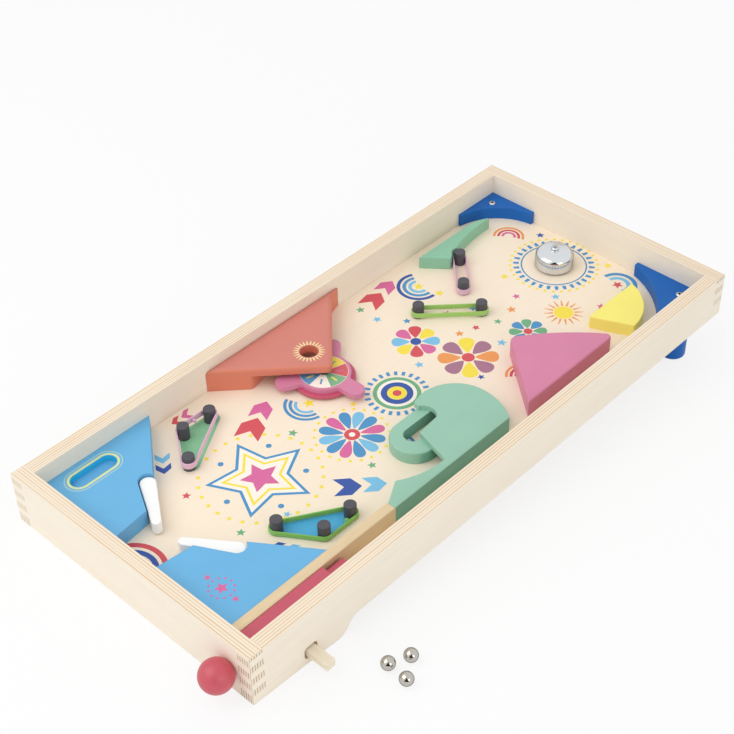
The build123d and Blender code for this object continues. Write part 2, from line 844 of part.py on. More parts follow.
with BuildPart() as tunnel_cover:
    for base, height in ((loop_height, lane_block_height - loop_height), (0, loop_height)):
        with BuildSketch(level(base)) as tunnel_plan:
            with BuildLine():
                crown = (dome_x, dome_y + tunnel_dome_radius)
                Line((lane_x, divider_end), tunnel_rear)
                TangentArc(crown, tunnel_rear, tangent=(1, 0))
                ThreePointArc(tunnel_nose, (dome_x - tunnel_dome_radius, dome_y), crown)
                Line(tunnel_nose, (notch_left, tunnel_nose[1]))
                ThreePointArc(
                    (notch_left, tunnel_nose[1]),
                    ((notch_left + notch_right) / 2, tunnel_nose[1] + tunnel_notch_depth),
                    (notch_right, tunnel_nose[1]),
                )
                Polyline(
                    (notch_right, tunnel_nose[1]),
                    tunnel_lip,
                    (inner_wall_x, mouth_y),
                    (inner_wall_x, waist_y),
                )
                TangentArc((inner_wall_x, waist_y), tail_point, tangent=(0, -1))
                Polyline(tail_point, (inner_wall_x, divider_end), (lane_x, divider_end))
            make_face()
            for corner in (tail_point, tunnel_nose, tunnel_lip, (notch_right, tunnel_nose[1]), tunnel_rear):
                fillet(tunnel_plan.vertices().sort_by_distance(corner)[0], radius=tunnel_corner_radius)
            if base == 0:
                with BuildLine():
                    Polyline(
                        (inner_wall_x, mouth_y),
                        (inner_wall_x, back_y),
                        (right_x, back_y),
                        (right_x, front_y),
                        (left_x, front_y),
                        (left_x, mouth_y),
                        close=True,
                    )
                make_face(mode=Mode.INTERSECT)
        extrude(amount=height)
        if base > 0:
            fillet(top_edges(tunnel_cover), radius=block_round)
save(tunnel_cover, "tunnel_cover")

# Pink block: a three-cornered block on the lane with a bulging rear edge
pink_tip = (lane_x, from_front(pink_tip_from_front))
pink_rear = (lane_x, from_front(pink_rear_from_front))
pink_nose = (lane_x - pink_reach, from_front(pink_nose_from_front))
pink_edge = hypot(pink_rear[0] - pink_nose[0], pink_rear[1] - pink_nose[1])
pink_middle = (
    (pink_rear[0] + pink_nose[0]) / 2 - pink_bulge * (pink_rear[1] - pink_nose[1]) / pink_edge,
    (pink_rear[1] + pink_nose[1]) / 2 + pink_bulge * (pink_rear[0] - pink_nose[0]) / pink_edge,
)

with BuildPart() as pink_block:
    with BuildSketch(level(0)) as pink_shape:
        with BuildLine():
            Polyline(pink_nose, pink_tip, pink_rear)
            ThreePointArc(pink_rear, pink_middle, pink_nose)
        make_face()
        fillet(pink_shape.vertices().sort_by(Axis.X)[0], radius=pink_nose_radius)
        fillet(pink_shape.vertices().sort_by(Axis.Y)[-1], radius=pink_corner_radius)
    extrude(amount=lane_block_height)
    fillet(top_edges(pink_block), radius=pink_round)
save(pink_block, "pink_block")

# Yellow block: a sector whose round edge faces the lane's outlet
yellow_x = lane_x - yellow_left_from_lane
yellow_front = (yellow_x, back_y - yellow_front_from_back)
yellow_tip = (yellow_x, back_y - yellow_tip_from_back)
yellow_right = (lane_x + yellow_right_overlap, yellow_front[1] + yellow_front_rise)
yellow_edge = hypot(yellow_tip[0] - yellow_right[0], yellow_tip[1] - yellow_right[1])
yellow_middle = (
    (yellow_tip[0] + yellow_right[0]) / 2 + yellow_arc_bulge * (yellow_tip[1] - yellow_right[1]) / yellow_edge,
    (yellow_tip[1] + yellow_right[1]) / 2 - yellow_arc_bulge * (yellow_tip[0] - yellow_right[0]) / yellow_edge,
)

with BuildPart() as yellow_block:
    with BuildSketch(level(0)) as yellow_shape:
        with BuildLine():
            Polyline(yellow_tip, yellow_front, yellow_right)
            ThreePointArc(yellow_right, yellow_middle, yellow_tip)
        make_face()
        fillet(yellow_shape.vertices(), radius=yellow_corner_radius)
    extrude(amount=block_height)
    fillet(top_edges(yellow_block), radius=block_round)
save(yellow_block, "yellow_block")

# Corner blocks: round inner edges that turn the ball, each held by the screw of the leg below
left_arc = (left_x + left_corner_arc_inset, back_y - left_corner_arc_from_back)
right_arc = (right_x - right_corner_arc_radius, back_y - right_corner_arc_from_back)
corner_blocks = {
    "left": (left_x, left_arc, left_corner_arc_radius, left_corner_end, left_corner_end),
    "right": (
        right_x,
        right_arc,
        right_corner_arc_radius,
        right_corner_span,
        right_corner_arc_from_back - sqrt(2 * right_corner_arc_radius * right_corner_tip),
    ),
}
for side, (wall_x, arc_centre, arc_radius, span, reach) in corner_blocks.items():
    inward = 1 if side == "left" else -1
    with BuildPart() as corner_block:
        with BuildSketch(level(0)):
            with Locations((wall_x + inward * span / 2, back_y - reach / 2)):
                Rectangle(span, reach)
            with Locations(arc_centre):
                Circle(arc_radius, mode=Mode.SUBTRACT)
            with Locations((legs[side], leg_y)):
                Circle(leg_screw_diameter / 2 + screw_gap, mode=Mode.SUBTRACT)
        extrude(amount=block_height)
        fillet(corner_block.faces().sort_by(up)[-1].outer_wire().edges(), radius=block_round / 2)
    save(corner_block, f"{side}_corner_block")

    with BuildPart() as leg:
        with BuildSketch(spot(legs[side], leg_y, -board_thickness)):
            Circle(leg_diameter / 2)
        extrude(amount=table_height(tray_length))
        split(bisect_by=Plane.XY)
        fillet(leg.faces().sort_by(Axis.Z)[0].edges(), radius=leg_round)
        with BuildSketch(spot(legs[side], leg_y, -board_thickness)):
            Circle(leg_screw_diameter / 2 + press_gap)
        extrude(amount=-leg_screw_bite, mode=Mode.SUBTRACT)
    save(leg, f"{side}_leg")

with BuildPart() as leg_screws:
    for side in legs:
        with BuildSketch(spot(legs[side], leg_y, block_height)):
            Circle(leg_screw_diameter / 2)
        extrude(amount=-(block_height + board_thickness + leg_screw_bite))
        with BuildSketch(spot(legs[side], leg_y, block_height)):
            Circle(leg_screw_head_diameter / 2)
        extrude(amount=leg_screw_head_height)
    fillet(leg_screws.faces().group_by(up)[-1].edges(), radius=leg_screw_head_height / 2)
save(leg_screws, "leg_screws")

# Crescent block, hollowed beside the upper bumper's rear peg
crescent_left = left_x + crescent_left_from_wall
crescent_front = (crescent_left, from_back(crescent_front_from_back))
crescent_right = (crescent_left + crescent_width, crescent_front[1] + crescent_front_rise)
crescent_tip = (left_x + crescent_tip_from_wall, from_back(crescent_tip_from_back))
crescent_bend = (crescent_left, from_back(crescent_bend_from_back))

with BuildPart() as crescent_block:
    with BuildSketch(level(0)):
        with BuildLine():
            Polyline(crescent_bend, crescent_front, crescent_right)
            SagittaArc(crescent_right, crescent_tip, crescent_hollow)
            TangentArc(crescent_bend, crescent_tip, tangent=(0, 1))
        make_face()
        with BuildSketch(mode=Mode.PRIVATE) as band_room:
            with Locations(*peg_groups["upper_bumper"]):
                Circle(peg_radius + band_thickness + crescent_band_gap)
            make_hull()
        add(band_room.sketch, mode=Mode.SUBTRACT)
    extrude(amount=block_height)
    fillet(top_edges(crescent_block), radius=block_round)
save(crescent_block, "crescent_block")

# Pegs with spigots through the board, and the elastic bands stretched round each group of pegs
for name, places in peg_groups.items():
    with BuildPart() as pegs:
        with BuildSketch(level(0)):
            with Locations(*places):
                Circle(peg_radius)
        extrude(amount=peg_height)
        fillet(pegs.faces().group_by(up)[-1].edges(), radius=peg_round)
        with BuildSketch(level(0)):
            with Locations(*places):
                Circle(peg_spigot_diameter / 2)
        extrude(amount=-board_thickness)
    save(pegs, f"{name}_pegs")

    with BuildPart() as band:
        with BuildSketch(level(band_lifts[name])):
            with Locations(*places):
                Circle(peg_radius + band_peg_gap + band_thickness)
            make_hull()
            offset(amount=-band_thickness, mode=Mode.SUBTRACT)
        extrude(amount=band_heights[name])
    save(band, f"{name}_band")

# Bell: a gong on a post, held by a nut on the post's stud
gong_under = bell_height - bell_wall
bell_plane = Plane(origin=point(field_x, bell_y, 0), x_dir=field.x_dir, z_dir=-field.y_dir)
bell_axis = Axis(point(field_x, bell_y, 0), field.z_dir)

with BuildPart() as bell_gong:
    with BuildSketch(bell_plane):
        with BuildLine():
            inner_radius = bell_radius - bell_wall
            inner_shoulder = bell_shoulder_radius - bell_wall
            crown_edge = bell_height - bell_crown
            stud_hole = bell_stud_radius + press_gap
            Polyline(
                (bell_seat_radius, gong_under),
                (stud_hole, gong_under),
                (stud_hole, bell_height),
                (bell_seat_radius, bell_height),
                (bell_radius - bell_shoulder_radius, crown_edge),
            )
            outer_bend = RadiusArc(
                (bell_radius - bell_shoulder_radius, crown_edge),
                (bell_radius, crown_edge - bell_shoulder_radius),
                bell_shoulder_radius,
            )
            Polyline(
                outer_bend @ 1,
                (bell_radius, bell_rim_height),
                (inner_radius, bell_rim_height),
                (inner_radius, crown_edge - bell_shoulder_radius),
            )
            inner_bend = RadiusArc(
                (inner_radius, crown_edge - bell_shoulder_radius),
                (inner_radius - inner_shoulder, crown_edge - bell_wall),
                -inner_shoulder,
            )
            Line(inner_bend @ 1, (bell_seat_radius, gong_under))
        make_face()
    revolve(axis=bell_axis)
save(bell_gong, "bell_gong")

with BuildPart() as bell_post:
    with BuildSketch(bell_plane):
        with BuildLine():
            Polyline(
                (0, -board_thickness),
                (bell_stud_radius, -board_thickness),
                (bell_stud_radius, 0),
                (bell_post_foot_radius, 0),
                (bell_post_foot_radius, bell_post_foot_height),
                (bell_post_radius, bell_post_foot_height),
                (bell_post_radius, gong_under),
                (bell_stud_radius, gong_under),
                (bell_stud_radius, bell_height + bell_stud_rise),
                (0, bell_height + bell_stud_rise),
                close=True,
            )
        make_face()
    revolve(axis=bell_axis)
save(bell_post, "bell_post")

with BuildPart() as bell_nut:
    with BuildSketch(spot(field_x, bell_y, bell_height)):
        RegularPolygon(bell_nut_across / 2, 6, major_radius=False)
        Circle(bell_stud_radius + press_gap, mode=Mode.SUBTRACT)
    extrude(amount=bell_nut_height)
save(bell_nut, "bell_nut")

# Steel balls, loose on the table
for number, (beside, behind) in enumerate(ball_places, start=1):
    with BuildPart() as steel_ball:
        with Locations((half_width + beside, behind, ball_diameter / 2)):
            Sphere(ball_diameter / 2)
    save(steel_ball, f"steel_ball_{number}")
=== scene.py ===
"""Looks of a tabletop pinball game: plywood tray, painted blocks, printed board, chrome bell and balls.

Places on the playfield are in millimetres: x across from the middle of the tray, y from the outer face of
the front wall, and height above the board. Everything else is in metres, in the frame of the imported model.
"""
import json
import math

import bmesh
import bpy
from mathutils import Matrix, Vector


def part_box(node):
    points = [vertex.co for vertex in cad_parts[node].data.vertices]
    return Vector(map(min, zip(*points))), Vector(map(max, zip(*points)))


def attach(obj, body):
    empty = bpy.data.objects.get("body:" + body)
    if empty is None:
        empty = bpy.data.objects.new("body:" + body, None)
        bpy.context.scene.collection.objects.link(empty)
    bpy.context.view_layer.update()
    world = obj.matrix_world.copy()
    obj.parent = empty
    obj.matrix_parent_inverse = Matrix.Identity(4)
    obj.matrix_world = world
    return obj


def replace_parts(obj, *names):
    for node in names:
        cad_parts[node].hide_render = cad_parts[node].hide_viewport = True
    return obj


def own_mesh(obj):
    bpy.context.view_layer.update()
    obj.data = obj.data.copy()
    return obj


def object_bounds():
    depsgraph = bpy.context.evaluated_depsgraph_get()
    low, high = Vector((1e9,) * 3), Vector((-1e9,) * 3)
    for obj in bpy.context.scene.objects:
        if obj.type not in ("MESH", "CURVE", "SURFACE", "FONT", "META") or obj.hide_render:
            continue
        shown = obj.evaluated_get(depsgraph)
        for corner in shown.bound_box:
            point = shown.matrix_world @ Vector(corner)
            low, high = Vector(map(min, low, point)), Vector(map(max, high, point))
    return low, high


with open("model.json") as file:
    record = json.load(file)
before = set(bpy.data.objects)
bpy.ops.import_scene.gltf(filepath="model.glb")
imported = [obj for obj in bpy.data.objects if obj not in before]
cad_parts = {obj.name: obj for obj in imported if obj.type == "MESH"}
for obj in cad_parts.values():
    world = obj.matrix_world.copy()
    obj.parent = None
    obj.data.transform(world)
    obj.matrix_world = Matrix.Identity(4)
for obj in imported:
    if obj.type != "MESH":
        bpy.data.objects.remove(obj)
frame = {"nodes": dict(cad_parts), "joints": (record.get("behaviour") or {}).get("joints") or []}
CAD_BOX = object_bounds()

bl_info = {
    "name": "Tabletop pinball game",
    "version": (1, 0, 0),
    "blender": (4, 5, 0),
    "location": "View3D > Sidebar > Pinball",
    "description": "Dresses the packed pinball game with wood, paint, print, elastic and chrome",
    "category": "Object",
}

MM = 0.001

# The playfield's own frame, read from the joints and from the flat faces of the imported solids
JOINTS = {joint["name"]: joint for joint in frame["joints"]}
FIELD_UP = Vector(JOINTS["spinner_turn"]["axis"])
FIELD_Y = -Vector(JOINTS["plunger_pull"]["axis"])
FIELD_X = FIELD_Y.cross(FIELD_UP)
TILT = math.atan2(FIELD_Y.z, FIELD_Y.y)


def reach(node, direction, pick):
    """How far a node goes along a direction, in metres; pick is min or max."""
    return pick(vertex.co.dot(direction) for vertex in frame["nodes"][node].data.vertices)


ORIGIN = FIELD_UP * reach("playfield_board", FIELD_UP, max) + FIELD_Y * reach("front_wall", FIELD_Y, min)


def field_way(x, y, height):
    """A direction on the playfield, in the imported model's frame."""
    return FIELD_X * x + FIELD_Y * y + FIELD_UP * height


def place(x, y, height=0.0):
    """A place on the playfield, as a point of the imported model's frame."""
    return ORIGIN + field_way(x, y, height) * MM


def local(point):
    """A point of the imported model's frame, as x, y and height on the playfield."""
    away = Vector(point) - ORIGIN
    return Vector((away.dot(FIELD_X), away.dot(FIELD_Y), away.dot(FIELD_UP))) / MM


def height_of(node, pick=max):
    """The height above the board of a node's top, or with min of its underside, in millimetres."""
    return (reach(node, FIELD_UP, pick) - ORIGIN.dot(FIELD_UP)) / MM


def middles(node):
    """The x and y of the middle of each separate solid in a node."""
    shell = bmesh.new()
    shell.from_mesh(frame["nodes"][node].data)
    bmesh.ops.remove_doubles(shell, verts=shell.verts, dist=MM / 100)
    waiting = set(shell.verts)
    found = []
    while waiting:
        front = [waiting.pop()]
        solid = []
        while front:
            vertex = front.pop()
            solid.append(local(vertex.co))
            for edge in vertex.link_edges:
                other = edge.other_vert(vertex)
                if other in waiting:
                    waiting.remove(other)
                    front.append(other)
        xs = [spot.x for spot in solid]
        ys = [spot.y for spot in solid]
        found.append(Vector(((min(xs) + max(xs)) / 2, (min(ys) + max(ys)) / 2)))
    shell.free()
    return sorted(found, key=lambda spot: (round(spot.x), spot.y))


HALF_WIDTH = reach("right_wall", FIELD_X, max) / MM
HALF_LENGTH = (reach("back_wall", FIELD_Y, max) - ORIGIN.dot(FIELD_Y)) / MM / 2
WALL = HALF_WIDTH + local(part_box("playfield_board")[0]).x
SPINNER = local(JOINTS["spinner_turn"]["pos_m"])

# Wire diameters of the springs, in millimetres, and the steps of one turn of a coil
WIRE = {"plunger_spring": 1.2, "left_return_spring": 0.9, "right_return_spring": 0.9}
COIL_STEPS = 20

# How far below its highest point a painted block still counts as its top, in millimetres
TOP_SKIN = 0.5


def srgb(code):
    """A linear colour from six hexadecimal digits of a screen colour."""
    parts = [int(code[k : k + 2], 16) / 255 for k in (0, 2, 4)]
    return tuple(c / 12.92 if c <= 0.04045 else ((c + 0.055) / 1.055) ** 2.4 for c in parts)


def colour(name, description, code):
    """A colour setting."""
    return bpy.props.FloatVectorProperty(
        name=name, description=description, subtype="COLOR", size=3, min=0, max=1, default=srgb(code)
    )


def length(name, description, millimetres):
    """A length setting."""
    return bpy.props.FloatProperty(
        name=name, description=description, unit="LENGTH", precision=5, min=0, default=millimetres * MM
    )


def whole(name, description, least, default):
    """A whole-number setting."""
    return bpy.props.IntProperty(name=name, description=description, min=least, default=default)


def spatial(name, description, subtype, default):
    """A place or direction setting."""
    return bpy.props.FloatVectorProperty(
        name=name, description=description, subtype=subtype, default=default
    )


def brightness(name, description, default, unit="NONE"):
    """A light setting."""
    return bpy.props.FloatProperty(name=name, description=description, unit=unit, min=0, default=default)


class PaintColours(bpy.types.PropertyGroup):
    """Colours of wood, paint and elastic."""

    veneer: colour("Veneer", "Face veneer of the plywood tray", "F7EEDE")
    cross_ply: colour("Cross ply", "Cross plies, seen on the edges of the walls", "DDBB90")
    end_grain: colour("End grain", "Ply ends in the finger joints", "8E7B58")
    board: colour("Board", "Ground colour of the printed board", "FAEBD6")
    board_cloud: colour("Board cloud", "Darker clouds in the board's ground", "F3DFC4")
    pale_wood: colour("Pale wood", "Push bars, battens and blocks below the board", "F6EAD2")
    lane_wood: colour("Lane wood", "Strip beside the launch lane", "EDD5AC")
    light_blue: colour("Light blue", "Aprons beside the flippers", "64B1E0")
    # Painted shade: the aprons' own paint, made deeper and more cyan on the recess walls, where it lies in
    # shade and takes light bounced between the walls.
    recess_blue: colour("Recess blue", "Walls of the ball recess", "2CBCE3")
    dark_blue: colour("Dark blue", "Corner blocks and legs", "0862B5")
    # Painted sheen: the window block takes two tints of one paint. The top's paler, pinker coral stands in
    # for the sheen of the white surroundings; the sides' more orange coral is the paint without it.
    coral: colour("Coral", "Top of the window block", "D17D6E")
    coral_side_without_sheen: colour("Coral side", "Sides of the window block, where the grain takes more paint", "DC7E62")
    ray_cream: colour("Ray cream", "Rays round the window hole", "F9E3A6")
    sea_green: colour("Sea green", "Tunnel cover and ball loop", "94C3AC")
    # Painted shade: the lane side of the tunnel cover and ball loop is darker because it lies in shade below
    # the right wall.
    sea_lane_shade: colour("Sea side", "Side of the tunnel cover along the launch lane, rubbed by balls", "6CA995")
    leaf_green: colour("Leaf green", "Crescent block", "88C0A2")
    pink: colour("Pink", "Three-cornered block and spinner wheel", "D680A2")
    # Painted shade: the lane side of the pink block is darker because it lies in shade below the right wall.
    pink_side: colour("Pink side", "Side of the pink block along the launch lane, rubbed by balls", "C8708B")
    dark_pink: colour("Dark pink", "Lower disc of the spinner", "C9506F")
    yellow: colour("Yellow", "Sector block", "FBED74")
    red: colour("Red", "Plunger cover and head", "C65166")
    knob_red: colour("Knob red", "Plunger knob", "C54C5A")
    white: colour("White", "Flippers", "F8F8F6")
    peg: colour("Peg", "Pegs", "45444C")
    pink_band: colour("Pink elastic", "Elastic bands of the left and the rear pegs", "E8BBD3")
    green_band: colour("Green elastic", "Elastic band of the right sling", "86C558")
    lime_band: colour("Lime elastic", "Elastic band of the lower pegs", "A4D06C")
    chrome: colour("Chrome", "Bell, its nut and the screws", "DDE0E3")
    ball: colour("Ball steel", "Polished steel of the balls", "C4C0B8")
    steel: colour("Steel", "Wire, crank rods and the bell's post", "A9AAAD")


class PrintColours(bpy.types.PropertyGroup):
    """Inks of the board's print."""

    blue: colour("Blue", "Outlines and rays", "4C93C6")
    navy: colour("Navy", "Dark chevrons and rings", "3355A4")
    sky: colour("Sky", "Pale blue shapes", "7CC0E4")
    pink: colour("Pink", "Pink chevrons and petals", "D9699F")
    red: colour("Red", "Red chevrons and hubs", "D6515A")
    yellow: colour("Yellow", "Dots and suns", "F7E04A")
    # Painted shade: a dark ink for flat crosses that stand in for the shade inside the screws' driver
    # recesses.
    shadow: colour("Shadow", "Driver recesses of the screws", "26262A")
    lime: colour("Lime", "Outlines round the ball recess", "E2E68E")
    green: colour("Green", "Petals and rings", "6FAF83")
    sling_green: colour("Sling green", "Field between the left pegs", "8BC89B")
    sling_blue: colour("Sling blue", "Field between the right pegs", "4CAEDC")
    orange: colour("Orange", "Warm petals", "EE9B55")
    mauve: colour("Mauve", "Muted petals", "A8748C")
    cream: colour("Cream", "Bare ground inside outlines", "FDF3E6")


class FinishSizes(bpy.types.PropertyGroup):
    """Sizes of the finishes and of the pieces made here."""

    plies: whole("Plies", "Layers in a tray wall", 3, 11)
    ink: length("Ink", "Thickness of one layer of print", 0.05)
    edge: length("Edge", "Rounding of painted edges", 0.9)
    band: length("Elastic", "Thickness of an elastic band", 1.5)
    wire_sides: whole("Wire sides", "Sides of spring wire", 6, 10)


class StageSettings(bpy.types.PropertyGroup):
    """Camera and light."""

    lens: bpy.props.FloatProperty(
        name="Lens", description="Focal length on a 36 mm sensor", unit="CAMERA", min=1, default=74.51
    )
    camera: spatial("Camera", "Camera's place", "TRANSLATION", (0.73007, -0.52937, 0.94057))
    aim: spatial("Aim", "The way that the camera looks", "DIRECTION", (-0.52998, 0.58625, -0.61273))
    upward: spatial("Upward", "The camera's upward way", "DIRECTION", (-0.43410, 0.43314, 0.78991))
    key: brightness("Key", "Main light", 26.0, "POWER")
    fill: brightness("Fill", "Light from the right", 7.0, "POWER")
    sky: brightness("Sky", "Light from all round", 0.77)


class Value:
    """A shader socket. Python operators on it add the Math nodes that work the expression out."""

    def __init__(self, finish, socket):
        self.finish = finish
        self.socket = socket

    def out(self, name):
        """Another output of the same node."""
        return Value(self.finish, self.socket.node.outputs[name])

    def __add__(self, other):
        return self.finish.math("ADD", self, other)

    def __radd__(self, other):
        return self.finish.math("ADD", other, self)

    def __sub__(self, other):
        return self.finish.math("SUBTRACT", self, other)

    def __rsub__(self, other):
        return self.finish.math("SUBTRACT", other, self)

    def __mul__(self, other):
        return self.finish.math("MULTIPLY", self, other)

    def __rmul__(self, other):
        return self.finish.math("MULTIPLY", other, self)

    def __truediv__(self, other):
        return self.finish.math("DIVIDE", self, other)

    def __pow__(self, other):
        return self.finish.math("POWER", self, other)

    def __mod__(self, other):
        return self.finish.math("FLOORED_MODULO", self, other)

    def __lt__(self, other):
        return self.finish.math("LESS_THAN", self, other)

    def __gt__(self, other):
        return self.finish.math("GREATER_THAN", self, other)

    def __abs__(self):
        return self.finish.math("ABSOLUTE", self)


class Finish:
    """Shader nodes being made for a new material, or for a new world."""

    def __init__(self, name, kind="materials"):
        self.owner = getattr(bpy.data, kind).new(name)
        self.owner.use_nodes = True
        self.tree = self.owner.node_tree
        self.tree.nodes.clear()

    def node(self, kind, settings, inputs, output=0):
        """Add a node, set its settings first, then fill or link its sockets. Gives one of its outputs."""
        made = self.tree.nodes.new(kind)
        for key, setting in settings.items():
            if key == "stops":
                stops = made.color_ramp.elements
                stops[0].position, stops[0].color = setting[0]
                stops[1].position, stops[1].color = setting[-1]
                for position, tint in setting[1:-1]:
                    stops.new(position).color = tint
            elif key == "interpolation":
                made.color_ramp.interpolation = setting
            else:
                setattr(made, key, setting)
        for key, value in inputs.items():
            socket = made.inputs[key]
            if isinstance(value, Value):
                self.tree.links.new(value.socket, socket)
            else:
                socket.default_value = (*value[:3], 1.0) if socket.type == "RGBA" else value
        return Value(self, made.outputs[output]) if len(made.outputs) else None

    def math(self, operation, *values):
        """A Math node."""
        return self.node("ShaderNodeMath", {"operation": operation}, dict(enumerate(values)))

    def clamp(self, value):
        """A value kept between 0 and 1."""
        return self.node("ShaderNodeMath", {"operation": "ADD", "use_clamp": True}, {0: value, 1: 0.0})

    def mix(self, first, second, share):
        """A colour between two colours."""
        return self.node("ShaderNodeMix", {"data_type": "RGBA"}, {0: share, 6: first, 7: second}, 2)

    def dot(self, first, second):
        """The dot product of two vectors."""
        inputs = {0: first, 1: second}
        return self.node("ShaderNodeVectorMath", {"operation": "DOT_PRODUCT"}, inputs, "Value")

    def spot(self):
        """The place on the playfield, in millimetres."""
        here = self.node("ShaderNodeTexCoord", {}, {}, "Object")
        turn = {"Vector": here, "Location": ORIGIN, "Rotation": (TILT, 0, 0), "Scale": (MM, MM, MM)}
        return self.node("ShaderNodeMapping", {"vector_type": "TEXTURE"}, turn)

    def split(self, vector):
        """The three parts of a vector."""
        parts = self.node("ShaderNodeSeparateXYZ", {}, {"Vector": vector})
        return parts, parts.out("Y"), parts.out("Z")

    def noise(self, spot, scale, detail, distortion=0.0):
        """Noise from 0 to 1; scale is in waves for each millimetre along x, y and height."""
        stretched = self.node("ShaderNodeMapping", {}, {"Vector": spot, "Scale": scale})
        inputs = {"Vector": stretched, "Scale": 1.0, "Detail": detail, "Distortion": distortion}
        return self.node("ShaderNodeTexNoise", {}, inputs)

    def rounded(self, radius):
        """Normals that run round the edges, and how near an edge is, from 0 to 1."""
        soft = self.node("ShaderNodeBevel", {"samples": 6}, {"Radius": radius})
        flat = self.node("ShaderNodeNewGeometry", {}, {}, "Normal")
        return soft, self.clamp((1 - self.dot(soft, flat)) * 4)

    def faces(self, way, both=False):
        """1 where the surface faces along a direction, 0 elsewhere; both counts the opposite way too."""
        square = self.dot(self.node("ShaderNodeNewGeometry", {}, {}, "True Normal"), way)
        return self.clamp((abs(square) if both else square) * 8 - 6)

    def seen(self):
        """1 where the camera or a reflection looks, 0 where only light arrives."""
        path = self.node("ShaderNodeLightPath", {}, {}, "Is Camera Ray")
        return self.clamp(path + path.out("Is Glossy Ray") + path.out("Is Transmission Ray"))

    def bump(self, height, depth, strength, normal=None):
        """Normals from a height pattern; depth is in millimetres."""
        inputs = {"Height": height, "Strength": strength, "Distance": depth * MM}
        if normal is not None:
            inputs["Normal"] = normal
        return self.node("ShaderNodeBump", {}, inputs)

    def done(self, tone, rough, shine=0.5, normal=None, more=()):
        """Join a Principled shader to the output, and give the material; more is for other sockets."""
        sockets = {"Base Color": tone, "Roughness": rough, "Specular IOR Level": shine, **dict(more)}
        if normal is not None:
            sockets["Normal"] = normal
        shader = self.node("ShaderNodeBsdfPrincipled", {}, sockets)
        self.node("ShaderNodeOutputMaterial", {}, {"Surface": shader})
        return self.owner


def shade(tint, factor):
    """A colour made lighter or darker."""
    return tuple(min(1.0, c * factor) for c in tint)


def plywood(paint, plies, thick):
    """Birch plywood, its plies across x or y: pale veneer, plies on the edges, end grain at the joints."""
    finish = Finish(f"plywood_{thick.lower()}")
    spot = finish.spot()
    x, y = finish.split(spot)[:2]
    if thick == "X":
        depth = HALF_WIDTH - abs(x)
        streak_scale = (0.9, 0.012, 0.30)
        along, broad = FIELD_Y, FIELD_X
    else:
        depth = HALF_LENGTH - abs(y - HALF_LENGTH)
        streak_scale = (0.012, 0.9, 0.30)
        along, broad = FIELD_X, FIELD_Y
    streak = finish.noise(spot, streak_scale, 5.0, 0.3)
    fine = finish.noise(spot, tuple(s * 4 for s in streak_scale), 3.0)
    cloud = finish.noise(spot, (0.012, 0.012, 0.03), 2.0)
    wobble = (streak - 0.5) * 0.5
    layer = depth / (WALL / plies) + wobble
    cross = finish.math("COSINE", layer * math.pi) * -0.5 + 0.5
    end = finish.faces(along, both=True)
    face = finish.faces(broad, both=True)
    veneer = finish.mix(shade(paint.veneer, 0.93), shade(paint.veneer, 1.04), streak)
    veneer = finish.mix(veneer, shade(paint.cross_ply, 1.02), cloud * 0.16)
    broken = finish.noise(spot, tuple(s * 0.7 for s in streak_scale), 4.0)
    strong = finish.clamp(finish.noise(spot, (0.011, 0.011, 0.02), 2.0) * 2.4 - 0.5)
    uneven = finish.math("SINE", depth * 1.3) * 0.5 + 0.5
    lines = cross ** 5.0 * (broken * 3.4 - 0.65) * (0.3 + strong * 0.5 + uneven * 0.6)
    lines = finish.clamp(lines + 0.16)
    edges = finish.mix(veneer, paint.cross_ply, lines * (1 - face) * (1 - end * 0.6))
    dashes = finish.clamp((1 - cross) ** 5.0 * (0.35 + fine)) * (0.06 + strong * 1.15) * end
    edges = finish.mix(edges, paint.end_grain, dashes)
    return finish.done(edges, 0.5 + fine * 0.14, 0.35, finish.bump(fine + cross * 0.4, 0.05, 0.5))


def bare_wood(name, tint, along, strength=1.0):
    """Planed wood with its grain along x, y or the height."""
    finish = Finish(name)
    spot = finish.spot()
    slow, quick = 0.01, 0.45
    scale = tuple(slow if axis == along else quick for axis in "XYZ")
    rings = finish.noise(spot, scale, 4.0, 0.6)
    pores = finish.noise(spot, tuple(s * 5 for s in scale), 2.0)
    lines = finish.math("SINE", rings * 26.0) * 0.5 + 0.5
    wood = finish.mix(shade(tint, 0.80), shade(tint, 1.07), rings)
    wood = finish.mix(wood, shade(tint, 0.70), finish.clamp(lines ** 4 * (0.22 * strength)))
    wood = finish.mix(wood, shade(tint, 0.62), finish.clamp((pores - 0.62) * 1.6))
    return finish.done(wood, 0.46 + pores * 0.2, 0.4, finish.bump(pores + lines * 0.3, 0.06, 0.6))


def painted(name, tint, gloss=0.40, decorate=None, shine=0.65):
    """Satin paint on wood: faint grain below it, a soft mottle, and thinner paint along the edges."""
    finish = Finish(name)
    spot = finish.spot()
    mottle = finish.noise(spot, (0.03, 0.03, 0.06), 4.0)
    grain = finish.noise(spot, (0.5, 0.03, 0.5), 4.0)
    peel = finish.noise(spot, (1.3, 1.3, 1.3), 2.0)
    soft, edge = finish.rounded(bpy.context.scene.pinball_sizes.edge)
    coat = finish.mix(shade(tint, 0.93), shade(tint, 1.06), mottle)
    coat = finish.mix(coat, shade(tint, 0.90), finish.clamp((grain - 0.55) * 1.2))
    if decorate:
        coat = decorate(finish, spot, coat)
    worn = tuple(min(1.0, c * 0.75 + 0.16) for c in tint)
    coat = finish.mix(coat, worn, edge * (0.25 + mottle * 0.35))
    normal = finish.bump(peel * 0.6 + grain * 0.5, 0.035, 0.5, soft)
    return finish.done(coat, gloss + grain * 0.12 - edge * 0.06, shine, normal)


def ink(name, tint, board):
    """Print on the board: slightly worn, with the wood's grain showing through."""
    finish = Finish(name)
    spot = finish.spot()
    grain = finish.noise(spot, (0.5, 0.02, 0.5), 4.0)
    speckle = finish.noise(spot, (0.9, 0.9, 0.9), 3.0)
    tone = finish.mix(shade(tint, 0.94), shade(tint, 1.05), grain)
    tone = finish.mix(tone, board, finish.clamp((speckle - 0.60) * 0.9))
    return finish.done(tone, 0.42 + grain * 0.12, 0.4)


